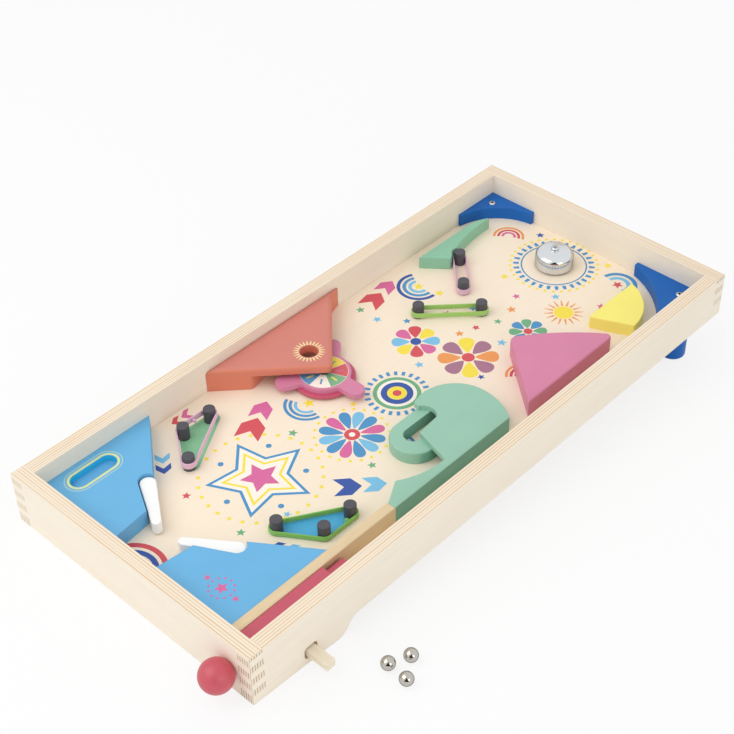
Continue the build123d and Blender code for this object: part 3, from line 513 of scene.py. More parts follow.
def metal(name, tint, rough, smudge, rim=1.0):
    """Polished or drawn metal with faint smudges; rim is how much of the tint is left at its outline, and a
    rim below 1 is painted shade in the reflections, a darker outline as shaded surroundings would give.
    """
    finish = Finish(name)
    spot = finish.spot()
    cloud = finish.noise(spot, (0.09, 0.09, 0.09), 4.0)
    scratch = finish.noise(spot, (2.0, 0.2, 2.0), 2.0)
    tone = finish.mix(shade(tint, 0.94), tint, cloud)
    dulled = rough + finish.clamp(cloud - 0.35) * smudge + scratch * 0.02
    return finish.done(tone, dulled, more={"Metallic": 1.0, "Specular Tint": (rim, rim, rim)})


def elastic(name, tint):
    """Knitted elastic: ribs along the band and a nap of fine threads."""
    finish = Finish(name)
    spot = finish.spot()
    x, y, height = finish.split(spot)
    ribs = finish.math("SINE", height * (2 * math.pi / 0.9)) * 0.5 + 0.5
    stitches = finish.math("SINE", (x + y) * (2 * math.pi / 0.75)) * 0.5 + 0.5
    knit = finish.noise(spot, (2.2, 2.2, 2.2), 3.0)
    tone = finish.mix(shade(tint, 0.82), shade(tint, 1.08), ribs * 0.5 + stitches * 0.25 + knit * 0.25)
    normal = finish.bump(ribs + stitches * 0.6 + knit * 0.5, 0.12, 0.7)
    return finish.done(tone, 0.72 + knit * 0.2, normal=normal, more={"Sheen Weight": 0.3})


def dress(material, *nodes):
    """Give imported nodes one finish."""
    for name in nodes:
        slots = frame["nodes"][name].data.materials
        slots.clear()
        slots.append(material)


def added(name, data):
    """A new object in the scene."""
    made = bpy.data.objects.new(name, data)
    bpy.context.scene.collection.objects.link(made)
    return made


def mesh_object(name, shell, material):
    """A new mesh object from a bmesh, which is used up."""
    mesh = bpy.data.meshes.new(name)
    shell.to_mesh(mesh)
    shell.free()
    mesh.materials.append(material)
    return added(name, mesh)


def piece(name, shell, material, slot):
    """A new piece from a bmesh, riding on the case."""
    bmesh.ops.recalc_face_normals(shell, faces=shell.faces)
    made = mesh_object(name, shell, material)
    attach(made, "case")
    return made


def smooth(made, degrees=40):
    """Shade a piece smooth, with edges sharper than an angle kept."""
    made.data.shade_smooth()
    made.data.set_sharp_from_angle(angle=math.radians(degrees))
    return made


def around(centres, radius, steps=10):
    """The line round circles of one radius, as points of the playfield with their outward ways."""
    centre = sum(centres, Vector((0, 0))) / len(centres)
    ordered = sorted(centres, key=lambda spot: math.atan2(spot.y - centre.y, spot.x - centre.x))
    line = []
    for k, here in enumerate(ordered):
        before = here - ordered[k - 1]
        after = ordered[(k + 1) % len(ordered)] - here
        start = math.atan2(-before.x, before.y)
        turn = (math.atan2(-after.x, after.y) - start) % (2 * math.pi)
        for step in range(steps + 1):
            angle = start + turn * step / steps
            way = Vector((math.cos(angle), math.sin(angle)))
            line.append((here + way * radius, way))
    return line


def polar(x, y, away, angle):
    """The point at a distance and an angle from another."""
    return x + away * math.cos(angle), y + away * math.sin(angle)


def circle(x, y, radius, steps):
    """Points of a circle."""
    return [polar(x, y, radius, 2 * math.pi * k / steps) for k in range(steps)]


class PrintSheet:
    """Flat printed shapes on one level, gathered by ink. Each shape is a thin closed plate."""

    star_points = 5
    petal_steps = 20
    petal_share = 0.92
    chevron_rake = 0.46
    small_steps = 14

    def __init__(self, name, level, ground):
        self.name = name
        self.level = level
        self.ground = ground
        self.inks = bpy.context.scene.pinball_inks
        self.thick = bpy.context.scene.pinball_sizes.ink / MM
        self.shells = {}

    def loop(self, shell, outline, height):
        """One outline as a ring of vertices at a height above the level."""
        return [shell.verts.new(place(x, y, self.level + height)) for x, y in outline]

    def plate(self, tone, outline, layer=0, hole=None):
        """A shape with an outline and perhaps a hole of as many points."""
        shell = self.shells.setdefault(tone, bmesh.new())
        thick = self.thick * (layer + 1)
        edges = [outline] if hole is None else [outline, hole]
        rings = [(self.loop(shell, edge, 0), self.loop(shell, edge, thick)) for edge in edges]
        for low, high in rings:
            for k in range(len(low)):
                shell.faces.new((low[k - 1], low[k], high[k], high[k - 1]))
        if hole is None:
            shell.faces.new(rings[0][1])
            shell.faces.new(rings[0][0][::-1])
        else:
            for inner, outer in zip(rings[1], rings[0]):
                for k in range(len(outer)):
                    shell.faces.new((outer[k - 1], outer[k], inner[k], inner[k - 1]))

    def dot(self, tone, x, y, radius, layer=0, steps=28):
        """A round spot."""
        self.plate(tone, circle(x, y, radius, steps), layer)

    def ring(self, tone, x, y, inner, outer, steps=48):
        """A round outline."""
        self.plate(tone, circle(x, y, outer, steps), 0, circle(x, y, inner, steps))

    def star(self, tone, x, y, outer, inner, turn=90.0, layer=0):
        """A pointed star."""
        tips = []
        for k in range(2 * self.star_points):
            away = inner if k % 2 else outer
            tips.append(polar(x, y, away, math.radians(turn + 180.0 * k / self.star_points)))
        self.plate(tone, tips, layer)

    def rays(self, tone, x, y, inner, outer, count, fill=0.5, tip=0.2):
        """A ring of rays that narrow towards their tips."""
        half = math.pi / count * fill
        corners = [(inner, -half), (outer, -half * tip), (outer, half * tip), (inner, half)]
        for k in range(count):
            middle = 2 * math.pi * k / count
            self.plate(tone, [polar(x, y, away, middle + angle) for away, angle in corners])

    def petals(self, tones, x, y, inner, outer, count):
        """Round petals about a middle, in tones that take turns."""
        middle, half = (inner + outer) / 2, (outer - inner) / 2
        across = min(math.tan(math.pi / count) * self.petal_share, half / middle)
        for k in range(count):
            angle = 2 * math.pi * k / count
            shape = []
            for step in range(self.petal_steps):
                turn = 2 * math.pi * step / self.petal_steps
                far = middle + math.cos(turn) * half
                spine = polar(x, y, far, angle)
                shape.append(polar(*spine, math.sin(turn) * across * far, angle + math.pi / 2))
            self.plate(tones[k % len(tones)], shape)

    def chevron(self, tone, x, y, width, thick, turn):
        """A chevron about the middle of its bend; turn is the way that it points, from the x axis."""
        tip, side, back = thick / 2, width / 2, width * self.chevron_rake
        corners = [(tip, 0), (tip - back, side), (-tip - back, side)]
        corners += [(-tip, 0), (-tip - back, -side), (tip - back, -side)]
        turned = Matrix.Rotation(math.radians(turn), 2)
        self.plate(tone, [tuple(Vector((x, y)) + turned @ Vector(corner)) for corner in corners])

    def arc(self, tone, x, y, inner, outer, start, sweep, steps=24):
        """A piece of a round outline, from one angle through another."""
        angles = [math.radians(start + sweep * k / steps) for k in range(steps + 1)]
        far = [polar(x, y, outer, angle) for angle in angles]
        near = [polar(x, y, inner, angle) for angle in reversed(angles)]
        self.plate(tone, far + near)

    def dotted(self, tone, x, y, away, radius, count, start=0.0, sweep=360.0):
        """Spots along an arc."""
        for k in range(count):
            spot = polar(x, y, away, math.radians(start + sweep * k / count))
            self.dot(tone, *spot, radius, 0, self.small_steps)

    def make(self, slot="printed_board"):
        """Make one piece for each ink."""
        for tone, shell in self.shells.items():
            material = ink(f"{self.name}_{tone}_ink", getattr(self.inks, tone), self.ground)
            piece(f"{self.name}_{tone}", shell, material, slot)


def wire_ring(shell, centre, first, second, radius, sides):
    """A ring of vertices about a point, spread over two directions."""
    turns = [2 * math.pi * k / sides for k in range(sides)]
    return [shell.verts.new(centre + (first * math.cos(t) + second * math.sin(t)) * radius) for t in turns]


def spring(name, node, axis, turns, joint, fixed, material):
    """A coil of round wire in place of a packed spring."""
    other = axis.cross(FIELD_UP)
    spans = [(reach(node, way, min), reach(node, way, max)) for way in (axis, FIELD_UP, other)]
    (low, high), (bottom, top), (left, right) = spans
    radius = WIRE[node] * MM / 2
    coil = (top - bottom) / 2 - radius
    middle = FIELD_UP * (top + bottom) / 2 + other * (left + right) / 2
    rise = (high - low - 2 * radius) / turns
    sides = bpy.context.scene.pinball_sizes.wire_sides
    shell = bmesh.new()
    rings = []
    for k in range(COIL_STEPS * turns + 1):
        angle = 2 * math.pi * k / COIL_STEPS
        out = FIELD_UP * math.cos(angle) + other * math.sin(angle)
        way = (other * math.cos(angle) - FIELD_UP * math.sin(angle)) * coil + axis * (rise / (2 * math.pi))
        lift = out.cross(way).normalized()
        centre = middle + out * coil + axis * (low + radius + rise * k / COIL_STEPS)
        rings.append(wire_ring(shell, centre, out, lift, radius, sides))
    bridge(shell, rings, closed=False)
    made = smooth(piece(name, shell, material, "steel"), 60)
    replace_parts(made, node)
    anchor = middle + axis * (low if fixed == "low" else high)
    keep = 1 - JOINTS[joint]["range_m"][1] / (high - low)
    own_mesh(made)


def bridge(shell, rings, closed):
    """Faces between rings of vertices, one after another; closed joins the last to the first."""
    count = len(rings[0])
    pairs = list(zip(rings, rings[1:])) + ([(rings[-1], rings[0])] if closed else [])
    for first, second in pairs:
        for k in range(count):
            shell.faces.new((first[k - 1], first[k], second[k], second[k - 1]))
    if not closed:
        shell.faces.new(rings[0])
        shell.faces.new(rings[-1][::-1])


class PINBALL_OT_tray(bpy.types.Operator):
    """Plywood walls with finger joints, and the battens below the board"""

    bl_idname = "pinball.tray"
    bl_label = "Tray"

    def execute(self, context):
        paint = context.scene.pinball_paint
        plies = context.scene.pinball_sizes.plies
        dress(plywood(paint, plies, "X"), "left_wall", "right_wall")
        dress(plywood(paint, plies, "Y"), "front_wall", "back_wall")
        dress(bare_wood("batten_wood_y", paint.pale_wood, "Y"), "left_batten", "right_batten")
        dress(bare_wood("batten_wood_x", paint.pale_wood, "X"), "front_batten", "back_batten")
        return {"FINISHED"}


class PINBALL_OT_board(bpy.types.Operator):
    """Playfield board with its cream ground"""

    bl_idname = "pinball.board"
    bl_label = "Board"

    def execute(self, context):
        paint = context.scene.pinball_paint
        finish = Finish("board_ground")
        spot = finish.spot()
        grain = finish.noise(spot, (0.35, 0.012, 0.35), 5.0, 0.4)
        cloud = finish.noise(spot, (0.008, 0.008, 0.008), 2.0)
        ground = finish.mix(shade(paint.board, 0.955), shade(paint.board, 1.03), grain)
        ground = finish.mix(ground, paint.board_cloud, cloud * 0.35)
        board = finish.done(ground, 0.42 + grain * 0.14, 0.35, finish.bump(grain, 0.03, 0.4))
        dress(board, "playfield_board")
        return {"FINISHED"}


class PINBALL_OT_board_print(bpy.types.Operator):
    """Print on the board: chevrons, stars, suns, petals, rings and dots"""

    bl_idname = "pinball.board_print"
    bl_label = "Board print"

    # Ink, x, y, width, thickness and the way that it points
    chevrons = [
        ("pink", -80, 233, 19, 16, 115),
        ("red", -69, 210, 24, 19, 115),
        ("navy", 55, 213, 21, 16, 48),
        ("sky", 70, 231, 18, 14, 48),
        ("sky", -95, 121, 14, 7, -36),
        ("navy", -84, 113, 14, 7, -36),
        ("pink", -126, 174, 14, 6, -100),
        ("red", -126, 162, 12, 6, -100),
        ("pink", -120, 450, 18, 14, 100),
        ("red", -115, 426, 22, 17, 100),
    ]
    slips = [("navy", 56.5, 121.7), ("sky", 67.5, 128.5)]
    slip_corners = [(-3.2, -3.8), (-2.6, 0.4), (3.8, 3.6), (2.4, -0.4)]
    # Ink, the pegs round the field, its margin and its shift
    sling_fields = [
        ("sling_green", "left_sling_pegs", 7.1, (0.0, 3.0)),
        ("sling_blue", "right_sling_pegs", 6.8, (-0.2, 0.3)),
    ]
    big_star = (-14, 166)
    big_star_layers = [("blue", 50), ("cream", 44), ("yellow", 36), ("cream", 31)]
    big_star_share = 0.52
    target = (0, 331)
    target_layers = [("green", 23), ("cream", 19), ("navy", 15.5), ("yellow", 9.5), ("red", 4.2)]
    sun = (42, 533)
    # Inks of the petals and of the hub, x, y, inner and outer reach, count and the hub's radius
    flowers = [
        (("sky", "blue", "pink", "blue"), "red", 8, 261, 8, 31.5, 12, 7.5),
        (("mauve", "orange", "mauve", "yellow"), "red", 16, 416, 7, 30, 8, 6.4),
        (("pink", "sky", "yellow", "red"), "navy", -38, 400, 6, 24, 8, 5.4),
        (("blue", "green"), "red", 34, 486, 5, 19, 8, 4.4),
    ]
    # Inks from the inside out, x, y, inner radius, step, start and sweep
    bows = [
        (("red", "navy", "red"), -14, 14.6, 12, 8, 12, 156),
        (("sky", "blue", "blue"), -52, 262, 9, 5, 200, 150),
        (("pink", "red", "orange"), 72, 430, 5, 4.5, 60, 170),
        (("sky", "blue"), 50, 282, 5, 5, -60, 190),
        (("sky", "blue", "navy"), -95, 468, 7, 6, 150, 210),
        (("pink", "red", "orange"), -82, 598, 5, 4.5, 20, 200),
        (("sky", "blue"), 55, 606, 9, 7, -30, 200),
    ]
    bow_share = 0.62
    # Ink, x, y, outer and inner reach and turn
    bow_stars = [
        ("sky", -14, 20.5, 6, 2.8, 90),
        ("yellow", -52, 265, 6.5, 3, 80),
        ("yellow", -95, 468, 6, 2.8, 60),
        ("red", 55, 606, 6, 2.8, 90),
    ]
    # Ink, x, y and reach
    small_stars = [
        ("red", -46, 106, 4.5), ("green", 22, 108, 4.5), ("sky", 36, 150, 4), ("yellow", 38, 303, 5),
        ("pink", 36, 372, 6), ("sky", -12, 376, 5), ("red", -30, 303, 5), ("yellow", -20, 292, 4),
        ("orange", -14, 438, 5), ("green", -34, 226, 5), ("green", 49, 244, 4.5), ("navy", 44, 402, 4),
        ("yellow", 60, 452, 5), ("blue", -66, 418, 4.5), ("yellow", -72, 474, 5.5), ("pink", -44, 454, 5),
        ("green", -113, 400, 5), ("sky", -90, 400, 5), ("orange", 0, 502, 5.5), ("pink", -10, 522, 4.5),
        ("sky", 20, 548, 5), ("yellow", -40, 540, 5), ("red", -8, 456, 4.5), ("sky", 26, 455, 5.5),
        ("green", 84, 622, 5), ("yellow", 28, 626, 5), ("pink", 64, 566, 5), ("navy", -58, 622, 5),
        ("blue", -30, 478, 5), ("green", 2, 478, 4.5),
    ]
    small_star_share = 0.46

    def middle_field(self, sheet):
        """A large star in rings of dots, a target with rays, and dots about the first flower."""
        x, y = self.big_star
        for layer, (tone, outer) in enumerate(self.big_star_layers):
            sheet.star(tone, x, y, outer, outer * self.big_star_share, 90, layer)
        sheet.star("pink", x, y, 19, 9.4, 90, 4)
        sheet.dotted("yellow", x, y, 56, 2.0, 27, 222.8, 347.1)
        sheet.dotted("blue", x, y, 41, 2.8, 5, 126)
        x, y = self.target
        for layer, (tone, radius) in enumerate(self.target_layers):
            sheet.dot(tone, x, y, radius, layer, 44)
        sheet.rays("blue", x, y, 26, 31.5, 24, 0.5, 0.8)
        x, y = self.flowers[0][2:4]
        sheet.dot("cream", x, y, 3, 1)
        sheet.dotted("yellow", x, y, 35, 1.7, 22)

    def rear_field(self, sheet):
        """A ring, rays and dots round the bell, and a sun beside it."""
        x, y = middles("bell_gong")[0]
        sheet.ring("blue", x, y, 33, 34.6)
        sheet.rays("blue", x, y, 36.5, 42.5, 30, 0.55, 0.6)
        sheet.dotted("yellow", x, y, 45.6, 1.8, 34)
        x, y = self.sun
        sheet.rays("orange", x, y, 11, 20, 16, 0.6, 0.15)
        sheet.dot("yellow", x, y, 10)

    def execute(self, context):
        sheet = PrintSheet("board_print", 0.0, context.scene.pinball_paint.board)
        for chevron in self.chevrons:
            sheet.chevron(*chevron)
        for tone, x, y in self.slips:
            sheet.plate(tone, [(x + across, y + ahead) for across, ahead in self.slip_corners])
        for tone, node, margin, shift in self.sling_fields:
            outline = around(middles(node), margin)
            sheet.plate(tone, [tuple(spot + Vector(shift)) for spot, way in outline])
        self.middle_field(sheet)
        for tones, hub, x, y, inner, outer, count, radius in self.flowers:
            sheet.petals(tones, x, y, inner, outer, count)
            sheet.dot(hub, x, y, radius)
        self.rear_field(sheet)
        for tones, x, y, inner, step, start, sweep in self.bows:
            for k, tone in enumerate(tones):
                near = inner + step * k
                sheet.arc(tone, x, y, near, near + step * self.bow_share, start, sweep)
        for star in self.bow_stars:
            sheet.star(*star)
        for tone, x, y, size in self.small_stars:
            sheet.star(tone, x, y, size, size * self.small_star_share, x + y)
        sheet.make()
        return {"FINISHED"}


class PINBALL_OT_aprons(bpy.types.Operator):
    """Blue aprons: lime outlines round the ball recess, and a small star print"""

    bl_idname = "pinball.aprons"
    bl_label = "Aprons"

    recess = (-116.2, 61.3)
    recess_radius = 8.5
    recess_straight = 31.5
    recess_skin = 0.4
    bold_line = (0.4, 2.6)
    thin_line = (4.4, 5.3)
    star_at = (68, 45)
    side_stars = 17

    def outlines(self, finish, spot, coat):
        """Two lime lines round the recess on the top face, and painted shade inside it: a deeper, more cyan
        blue on the recess walls.
        """
        x, y, height = finish.split(spot)
        beyond = finish.math("MAXIMUM", abs(y - self.recess[1]) - self.recess_straight / 2, 0.0)
        beside = x - self.recess[0]
        away = finish.math("SQRT", beside * beside + beyond * beyond) - self.recess_radius
        bold, thin = [(away > near) * (away < far) for near, far in (self.bold_line, self.thin_line)]
        top = height > height_of("left_apron") - TOP_SKIN
        scene = bpy.context.scene
        # Painted shade: the deeper blue on the recess walls below the top face.
        coat = finish.mix(coat, scene.pinball_paint.recess_blue, (abs(away) < self.recess_skin) * (1 - top))
        return finish.mix(coat, scene.pinball_inks.lime, (bold + thin * 0.6) * top * 0.9)

    def execute(self, context):
        tint = context.scene.pinball_paint.light_blue
        dress(painted("left_apron_paint", tint, 0.38, self.outlines), "left_apron")
        dress(painted("right_apron_paint", tint, 0.38), "right_apron")
        sheet = PrintSheet("apron_print", height_of("right_apron"), tint)
        x, y = self.star_at
        sheet.star("pink", x, y, 6.5, 3.0)
        sheet.dotted("pink", x, y, 11, 1.1, 12)
        for side in (-1, 1):
            sheet.star("pink", x + side * self.side_stars, y, 3.4, 1.6)
        sheet.make()
        return {"FINISHED"}


class PINBALL_OT_flippers(bpy.types.Operator):
    """White flippers, their bent rods and the blocks that the rods turn in"""

    bl_idname = "pinball.flippers"
    bl_label = "Flippers"

    def execute(self, context):
        paint = context.scene.pinball_paint
        dress(painted("flipper_paint", paint.white, 0.30), "left_flipper", "right_flipper")
        dress(metal("crank_steel", paint.steel, 0.28, 0.2), "left_crank", "right_crank")
        dress(bare_wood("pivot_wood", paint.pale_wood, "X"), "left_pivot_block", "right_pivot_block")
        return {"FINISHED"}


class PINBALL_OT_push_bars(bpy.types.Operator):
    """Push bars, the block between them and their return springs"""

    bl_idname = "pinball.push_bars"
    bl_label = "Push bars"

    turns = 6

    def execute(self, context):
        paint = context.scene.pinball_paint
        dress(bare_wood("push_bar_wood", paint.pale_wood, "X"), "left_push_bar", "right_push_bar")
        dress(bare_wood("return_block_wood", paint.pale_wood, "X"), "return_block")
        wire = metal("return_wire", paint.steel, 0.25, 0.15)
        for side, fixed in (("left", "high"), ("right", "low")):
            names = (f"{side}_return_coil", f"{side}_return_spring")
            spring(*names, FIELD_X, self.turns, f"{side}_push_in", fixed, wire)
        return {"FINISHED"}


class PINBALL_OT_launcher(bpy.types.Operator):
    """Launch lane: wooden strip, cover, plunger head, rod, spring and knob"""

    bl_idname = "pinball.launcher"
    bl_label = "Launcher"

    turns = 10

    def execute(self, context):
        paint = context.scene.pinball_paint
        dress(bare_wood("lane_wood", paint.lane_wood, "Y", 1.4), "lane_divider")
        dress(painted("plunger_paint", paint.red, 0.42), "plunger_cover", "plunger_head")
        dress(painted("knob_paint", paint.knob_red, 0.36), "plunger_knob")
        dress(bare_wood("rod_wood", paint.pale_wood, "Y"), "plunger_rod")
        wire = metal("plunger_wire", paint.steel, 0.25, 0.15)
        spring("plunger_coil", "plunger_spring", FIELD_Y, self.turns, "plunger_pull", "low", wire)
        return {"FINISHED"}


class PINBALL_OT_window_block(bpy.types.Operator):
    """Coral block over the spinner, with a ring of rays round its hole"""

    bl_idname = "pinball.window_block"
    bl_label = "Window block"

    hole_offset = 19.3
    ray_count = 24
    ray_inner = 9.8
    ray_outer = 15.6

    def ray_ring(self, finish, spot, coat):
        """Pointed rays round the hole, on the top face only, and a second coral on the sides as painted
        sheen: the top's paler coral stands in for the sheen of the white surroundings.
        """
        x, y, height = finish.split(spot)
        across = x - (SPINNER.x - self.hole_offset)
        ahead = y - SPINNER.y
        away = finish.math("SQRT", across * across + ahead * ahead)
        angle = finish.math("ARCTAN2", ahead, across)
        step = abs((angle * (self.ray_count / (2 * math.pi))) % 1.0 - 0.5)
        reach_share = (away - self.ray_inner) / (self.ray_outer - self.ray_inner)
        ray = (step < 0.36 - reach_share * 0.30) * (away > self.ray_inner) * (away < self.ray_outer)
        top = height > height_of("window_block") - TOP_SKIN
        paint = bpy.context.scene.pinball_paint
        # Painted sheen: the sides take the more orange coral, the top keeps the paler coral that stands in
        # for the sheen of the white surroundings.
        coat = finish.mix(coat, paint.coral_side_without_sheen, (1 - finish.faces(FIELD_UP)) * 0.85)
        return finish.mix(coat, paint.ray_cream, ray * top * 0.95)

    def execute(self, context):
        paint = context.scene.pinball_paint
        dress(painted("window_paint", paint.coral, 0.42, self.ray_ring), "window_block")
        return {"FINISHED"}


class PINBALL_OT_spinner(bpy.types.Operator):
    """Spinner: wheel, lower disc, post and the dial with its colour sectors"""

    bl_idname = "pinball.spinner"
    bl_label = "Spinner"

    sectors = 7
    first_edge = 0.346
    bar_near = 11.0
    bar_far = 18.5
    bar_half = 0.9
    hub = 5.0
    line_half = 0.35
    rim = 23.0
    grounds = ("yellow", "red", "green", "cream", "blue", "orange", "pink")
    bars = ("green", "pink", "yellow", "blue", "yellow", "cream", "cream")

    def dial(self, inks):
        """Colour sectors with a short bar in each."""
        finish = Finish("dial_print")
        spot = finish.spot()
        x, y = finish.split(spot)[:2]
        across, ahead = x - SPINNER.x, y - SPINNER.y
        away = finish.math("SQRT", across * across + ahead * ahead)
        turn = finish.math("ARCTAN2", ahead, across) / (2 * math.pi) * -1.0 + self.first_edge
        place_in = (turn * self.sectors) % self.sectors
        number = finish.math("FLOOR", place_in)
        beside = abs(place_in - number - 0.5) * away * (2 * math.pi / self.sectors)
        bar = (beside < self.bar_half) * (away > self.bar_near) * (away < self.bar_far)
        line = finish.clamp((beside > away * (math.pi / self.sectors) - self.line_half) + (away > self.rim))

        def ramp(names):
            """The ink of each sector, by its number."""
            stops = [(k / self.sectors, (*getattr(inks, name), 1.0)) for k, name in enumerate(names)]
            share = (number + 0.5) / self.sectors
            return finish.node(
                "ShaderNodeValToRGB", {"stops": stops, "interpolation": "CONSTANT"}, {"Fac": share}, "Color"
            )

        grain = finish.noise(spot, (0.5, 0.5, 0.5), 3.0)
        tone = finish.mix(ramp(self.grounds), ramp(self.bars), bar)
        tone = finish.mix(tone, inks.cream, line * 0.6)
        tone = finish.mix(tone, inks.cream, grain * 0.10)
        tone = finish.mix(tone, bpy.context.scene.pinball_paint.peg, away < self.hub)
        return finish.done(tone, 0.36 + grain * 0.1, 0.4)

    def execute(self, context):
        paint = context.scene.pinball_paint
        dress(painted("wheel_paint", paint.pink, 0.42), "spinner_wheel")
        dress(painted("disc_paint", paint.dark_pink, 0.42), "spinner_disc")
        dress(painted("post_paint", paint.peg, 0.5), "spinner_post")
        dress(self.dial(context.scene.pinball_inks), "spinner_dial")
        return {"FINISHED"}


class PINBALL_OT_blocks(bpy.types.Operator):
    """Painted blocks along the lane and at the back"""

    bl_idname = "pinball.blocks"
    bl_label = "Blocks"

    def rubbed(self, tint):
        """A decoration: painted shade, a darker tint on the sides along the launch lane, which lie in shade
        below the right wall.
        """

        def painted_lane_shade(finish, spot, coat):
            """Painted shade: the darker tint on the side that faces the launch lane."""
            return finish.mix(coat, tint, finish.faces(FIELD_X))

        return painted_lane_shade

    def execute(self, context):
        paint = context.scene.pinball_paint
        # Painted shade on the lane sides of the tunnel cover, ball loop and pink block.
        tunnel = painted("tunnel_paint", paint.sea_green, decorate=self.rubbed(paint.sea_lane_shade))
        dress(tunnel, "tunnel_cover", "ball_loop")
        pink = painted("pink_paint", paint.pink, decorate=self.rubbed(paint.pink_side))
        dress(pink, "pink_block")
        dress(painted("yellow_paint", paint.yellow), "yellow_block")
        corners = painted("corner_paint", paint.dark_blue, shine=0.3)
        dress(corners, "left_corner_block", "right_corner_block")
        dress(painted("crescent_paint", paint.leaf_green), "crescent_block")
        return {"FINISHED"}


class PINBALL_OT_legs(bpy.types.Operator):
    """Round legs at the back and the screws that hold them"""

    bl_idname = "pinball.legs"
    bl_label = "Legs"

    recess_arm = 2.2
    recess_half = 0.65
    recess_turn = 30.0

    def recesses(self, dark):
        """Dark crosses where the driver fits the screw heads: painted shade, flat plates that stand in for
        the shade inside the recesses.
        """
        sheet = PrintSheet("screw_recess", height_of("leg_screws"), dark)
        far, near = self.recess_arm, self.recess_half
        arm = ((far, -near), (far, near), (near, near))
        for screw in middles("leg_screws"):
            outline = []
            for quarter in range(4):
                turn = Matrix.Rotation(math.radians(90 * quarter + self.recess_turn), 2)
                outline += [tuple(screw + turn @ Vector(corner)) for corner in arm]
            sheet.plate("shadow", outline)
        sheet.make("steel")

    def execute(self, context):
        paint = context.scene.pinball_paint
        dress(painted("leg_paint", paint.dark_blue, shine=0.3), "left_leg", "right_leg")
        dress(metal("screw_steel", paint.chrome, 0.22, 0.2), "leg_screws")
        self.recesses(context.scene.pinball_inks.shadow)
        return {"FINISHED"}


class PINBALL_OT_bumpers(bpy.types.Operator):
    """Pegs, and the elastic bands stretched round them"""

    bl_idname = "pinball.bumpers"
    bl_label = "Bumpers"

    bands = {
        "left_sling": ("pink_band", "pink_band"),
        "right_sling": ("green_band", "green_band"),
        "lower_bumper": ("green_band", "lime_band"),
        "upper_bumper": ("pink_band", "pink_band"),
    }
    corner_steps = 5
    peg_steps = 14
    round_share = 0.45
    peg_gap = 0.05
    knots = {"left_sling": (-107.9, 171.5), "right_sling": (81.7, 177.3)}
    knot_size = 0.5
    knot_lift = 2.2
    knot_thick = 0.8
    knot_steps = 48
    knot_sides = 8

    def knot(self, shell, x, y, height):
        """The knot that ties an elastic band's ends, as one closed tube."""
        rings = []
        for k in range(self.knot_steps):
            t = 2 * math.pi * k / self.knot_steps
            rise, climb = -math.sin(3 * t) * self.knot_lift, -3 * math.cos(3 * t) * self.knot_lift
            spot = Vector((math.sin(t) + 2 * math.sin(2 * t), math.cos(t) - 2 * math.cos(2 * t), rise))
            way = Vector((math.cos(t) + 4 * math.cos(2 * t), 4 * math.sin(2 * t) - math.sin(t), climb))
            side = way.cross(Vector((0, 0, 1))).normalized()
            lift = side.cross(way).normalized()
            centre = place(x, y, height) + field_way(*spot) * self.knot_size * MM
            spread = (field_way(*side), field_way(*lift))
            rings.append(wire_ring(shell, centre, *spread, self.knot_thick * MM, self.knot_sides))
        bridge(shell, rings, closed=True)

    def band(self, name, slot, tint):
        """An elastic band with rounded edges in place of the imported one."""
        node = f"{name}_band"
        thick = bpy.context.scene.pinball_sizes.band / MM
        pegs = middles(f"{name}_pegs")
        peg_radius = reach(f"{name}_pegs", FIELD_X, max) / MM - max(spot.x for spot in pegs)
        low, high = height_of(node, min), height_of(node)
        middle = (low + high) / 2
        round_off = thick * self.round_share
        profile = []
        for across, up, start in ((1, 1, 0), (-1, 1, 90), (-1, -1, 180), (1, -1, 270)):
            for step in range(self.corner_steps + 1):
                angle = math.radians(start + 90 * step / self.corner_steps)
                out = across * (thick / 2 - round_off) + round_off * math.cos(angle)
                rise = up * ((high - low) / 2 - round_off) + round_off * math.sin(angle)
                profile.append((out, middle + rise))
        shell = bmesh.new()
        rings = []
        for spot, way in around(pegs, peg_radius + thick / 2 + self.peg_gap, self.peg_steps):
            rings.append([shell.verts.new(place(*(spot + way * out), up)) for out, up in profile])
        bridge(shell, rings, closed=True)
        if name in self.knots:
            self.knot(shell, *self.knots[name], middle)
        knit = elastic(f"{name}_elastic_knit", tint)
        made = smooth(piece(f"{name}_elastic", shell, knit, slot), 50)
        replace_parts(made, node)

    def execute(self, context):
        paint = context.scene.pinball_paint
        dress(painted("peg_paint", paint.peg, 0.5), *[f"{name}_pegs" for name in self.bands])
        for name, (slot, tint) in self.bands.items():
            self.band(name, slot, getattr(paint, tint))
        return {"FINISHED"}


class PINBALL_OT_bell(bpy.types.Operator):
    """Chrome bell on its post, held by a nut"""

    bl_idname = "pinball.bell"
    bl_label = "Bell"

    washer = ((5.2, -0.4), (5.2, 0.4), (4.9, 0.55), (3.9, 0.6))
    cap = ((3.9, 1.8), (3.5, 2.5), (2.6, 2.95), (1.4, 3.15), (0.3, 3.2))
    cap_steps = 36

    def cap_nut(self, material):
        """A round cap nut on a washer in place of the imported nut."""
        middle = middles("bell_nut")[0]
        low = height_of("bell_nut", min)
        shell = bmesh.new()
        rings = []
        for radius, up in self.washer + self.cap:
            outline = circle(middle.x, middle.y, radius, self.cap_steps)
            rings.append([shell.verts.new(place(x, y, low + up)) for x, y in outline])
        bridge(shell, rings, closed=False)
        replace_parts(smooth(piece("bell_cap_nut", shell, material, "steel")), "bell_nut")

    def execute(self, context):
        paint = context.scene.pinball_paint
        # Painted shade in the reflections: rims below 1 darken the outlines of the bell and the nut.
        dress(metal("bell_chrome", paint.chrome, 0.09, 0.12, 0.6), "bell_gong")
        dress(metal("bell_steel", paint.steel, 0.16, 0.15), "bell_post")
        self.cap_nut(metal("nut_chrome", paint.chrome, 0.12, 0.12, 0.4))
        return {"FINISHED"}


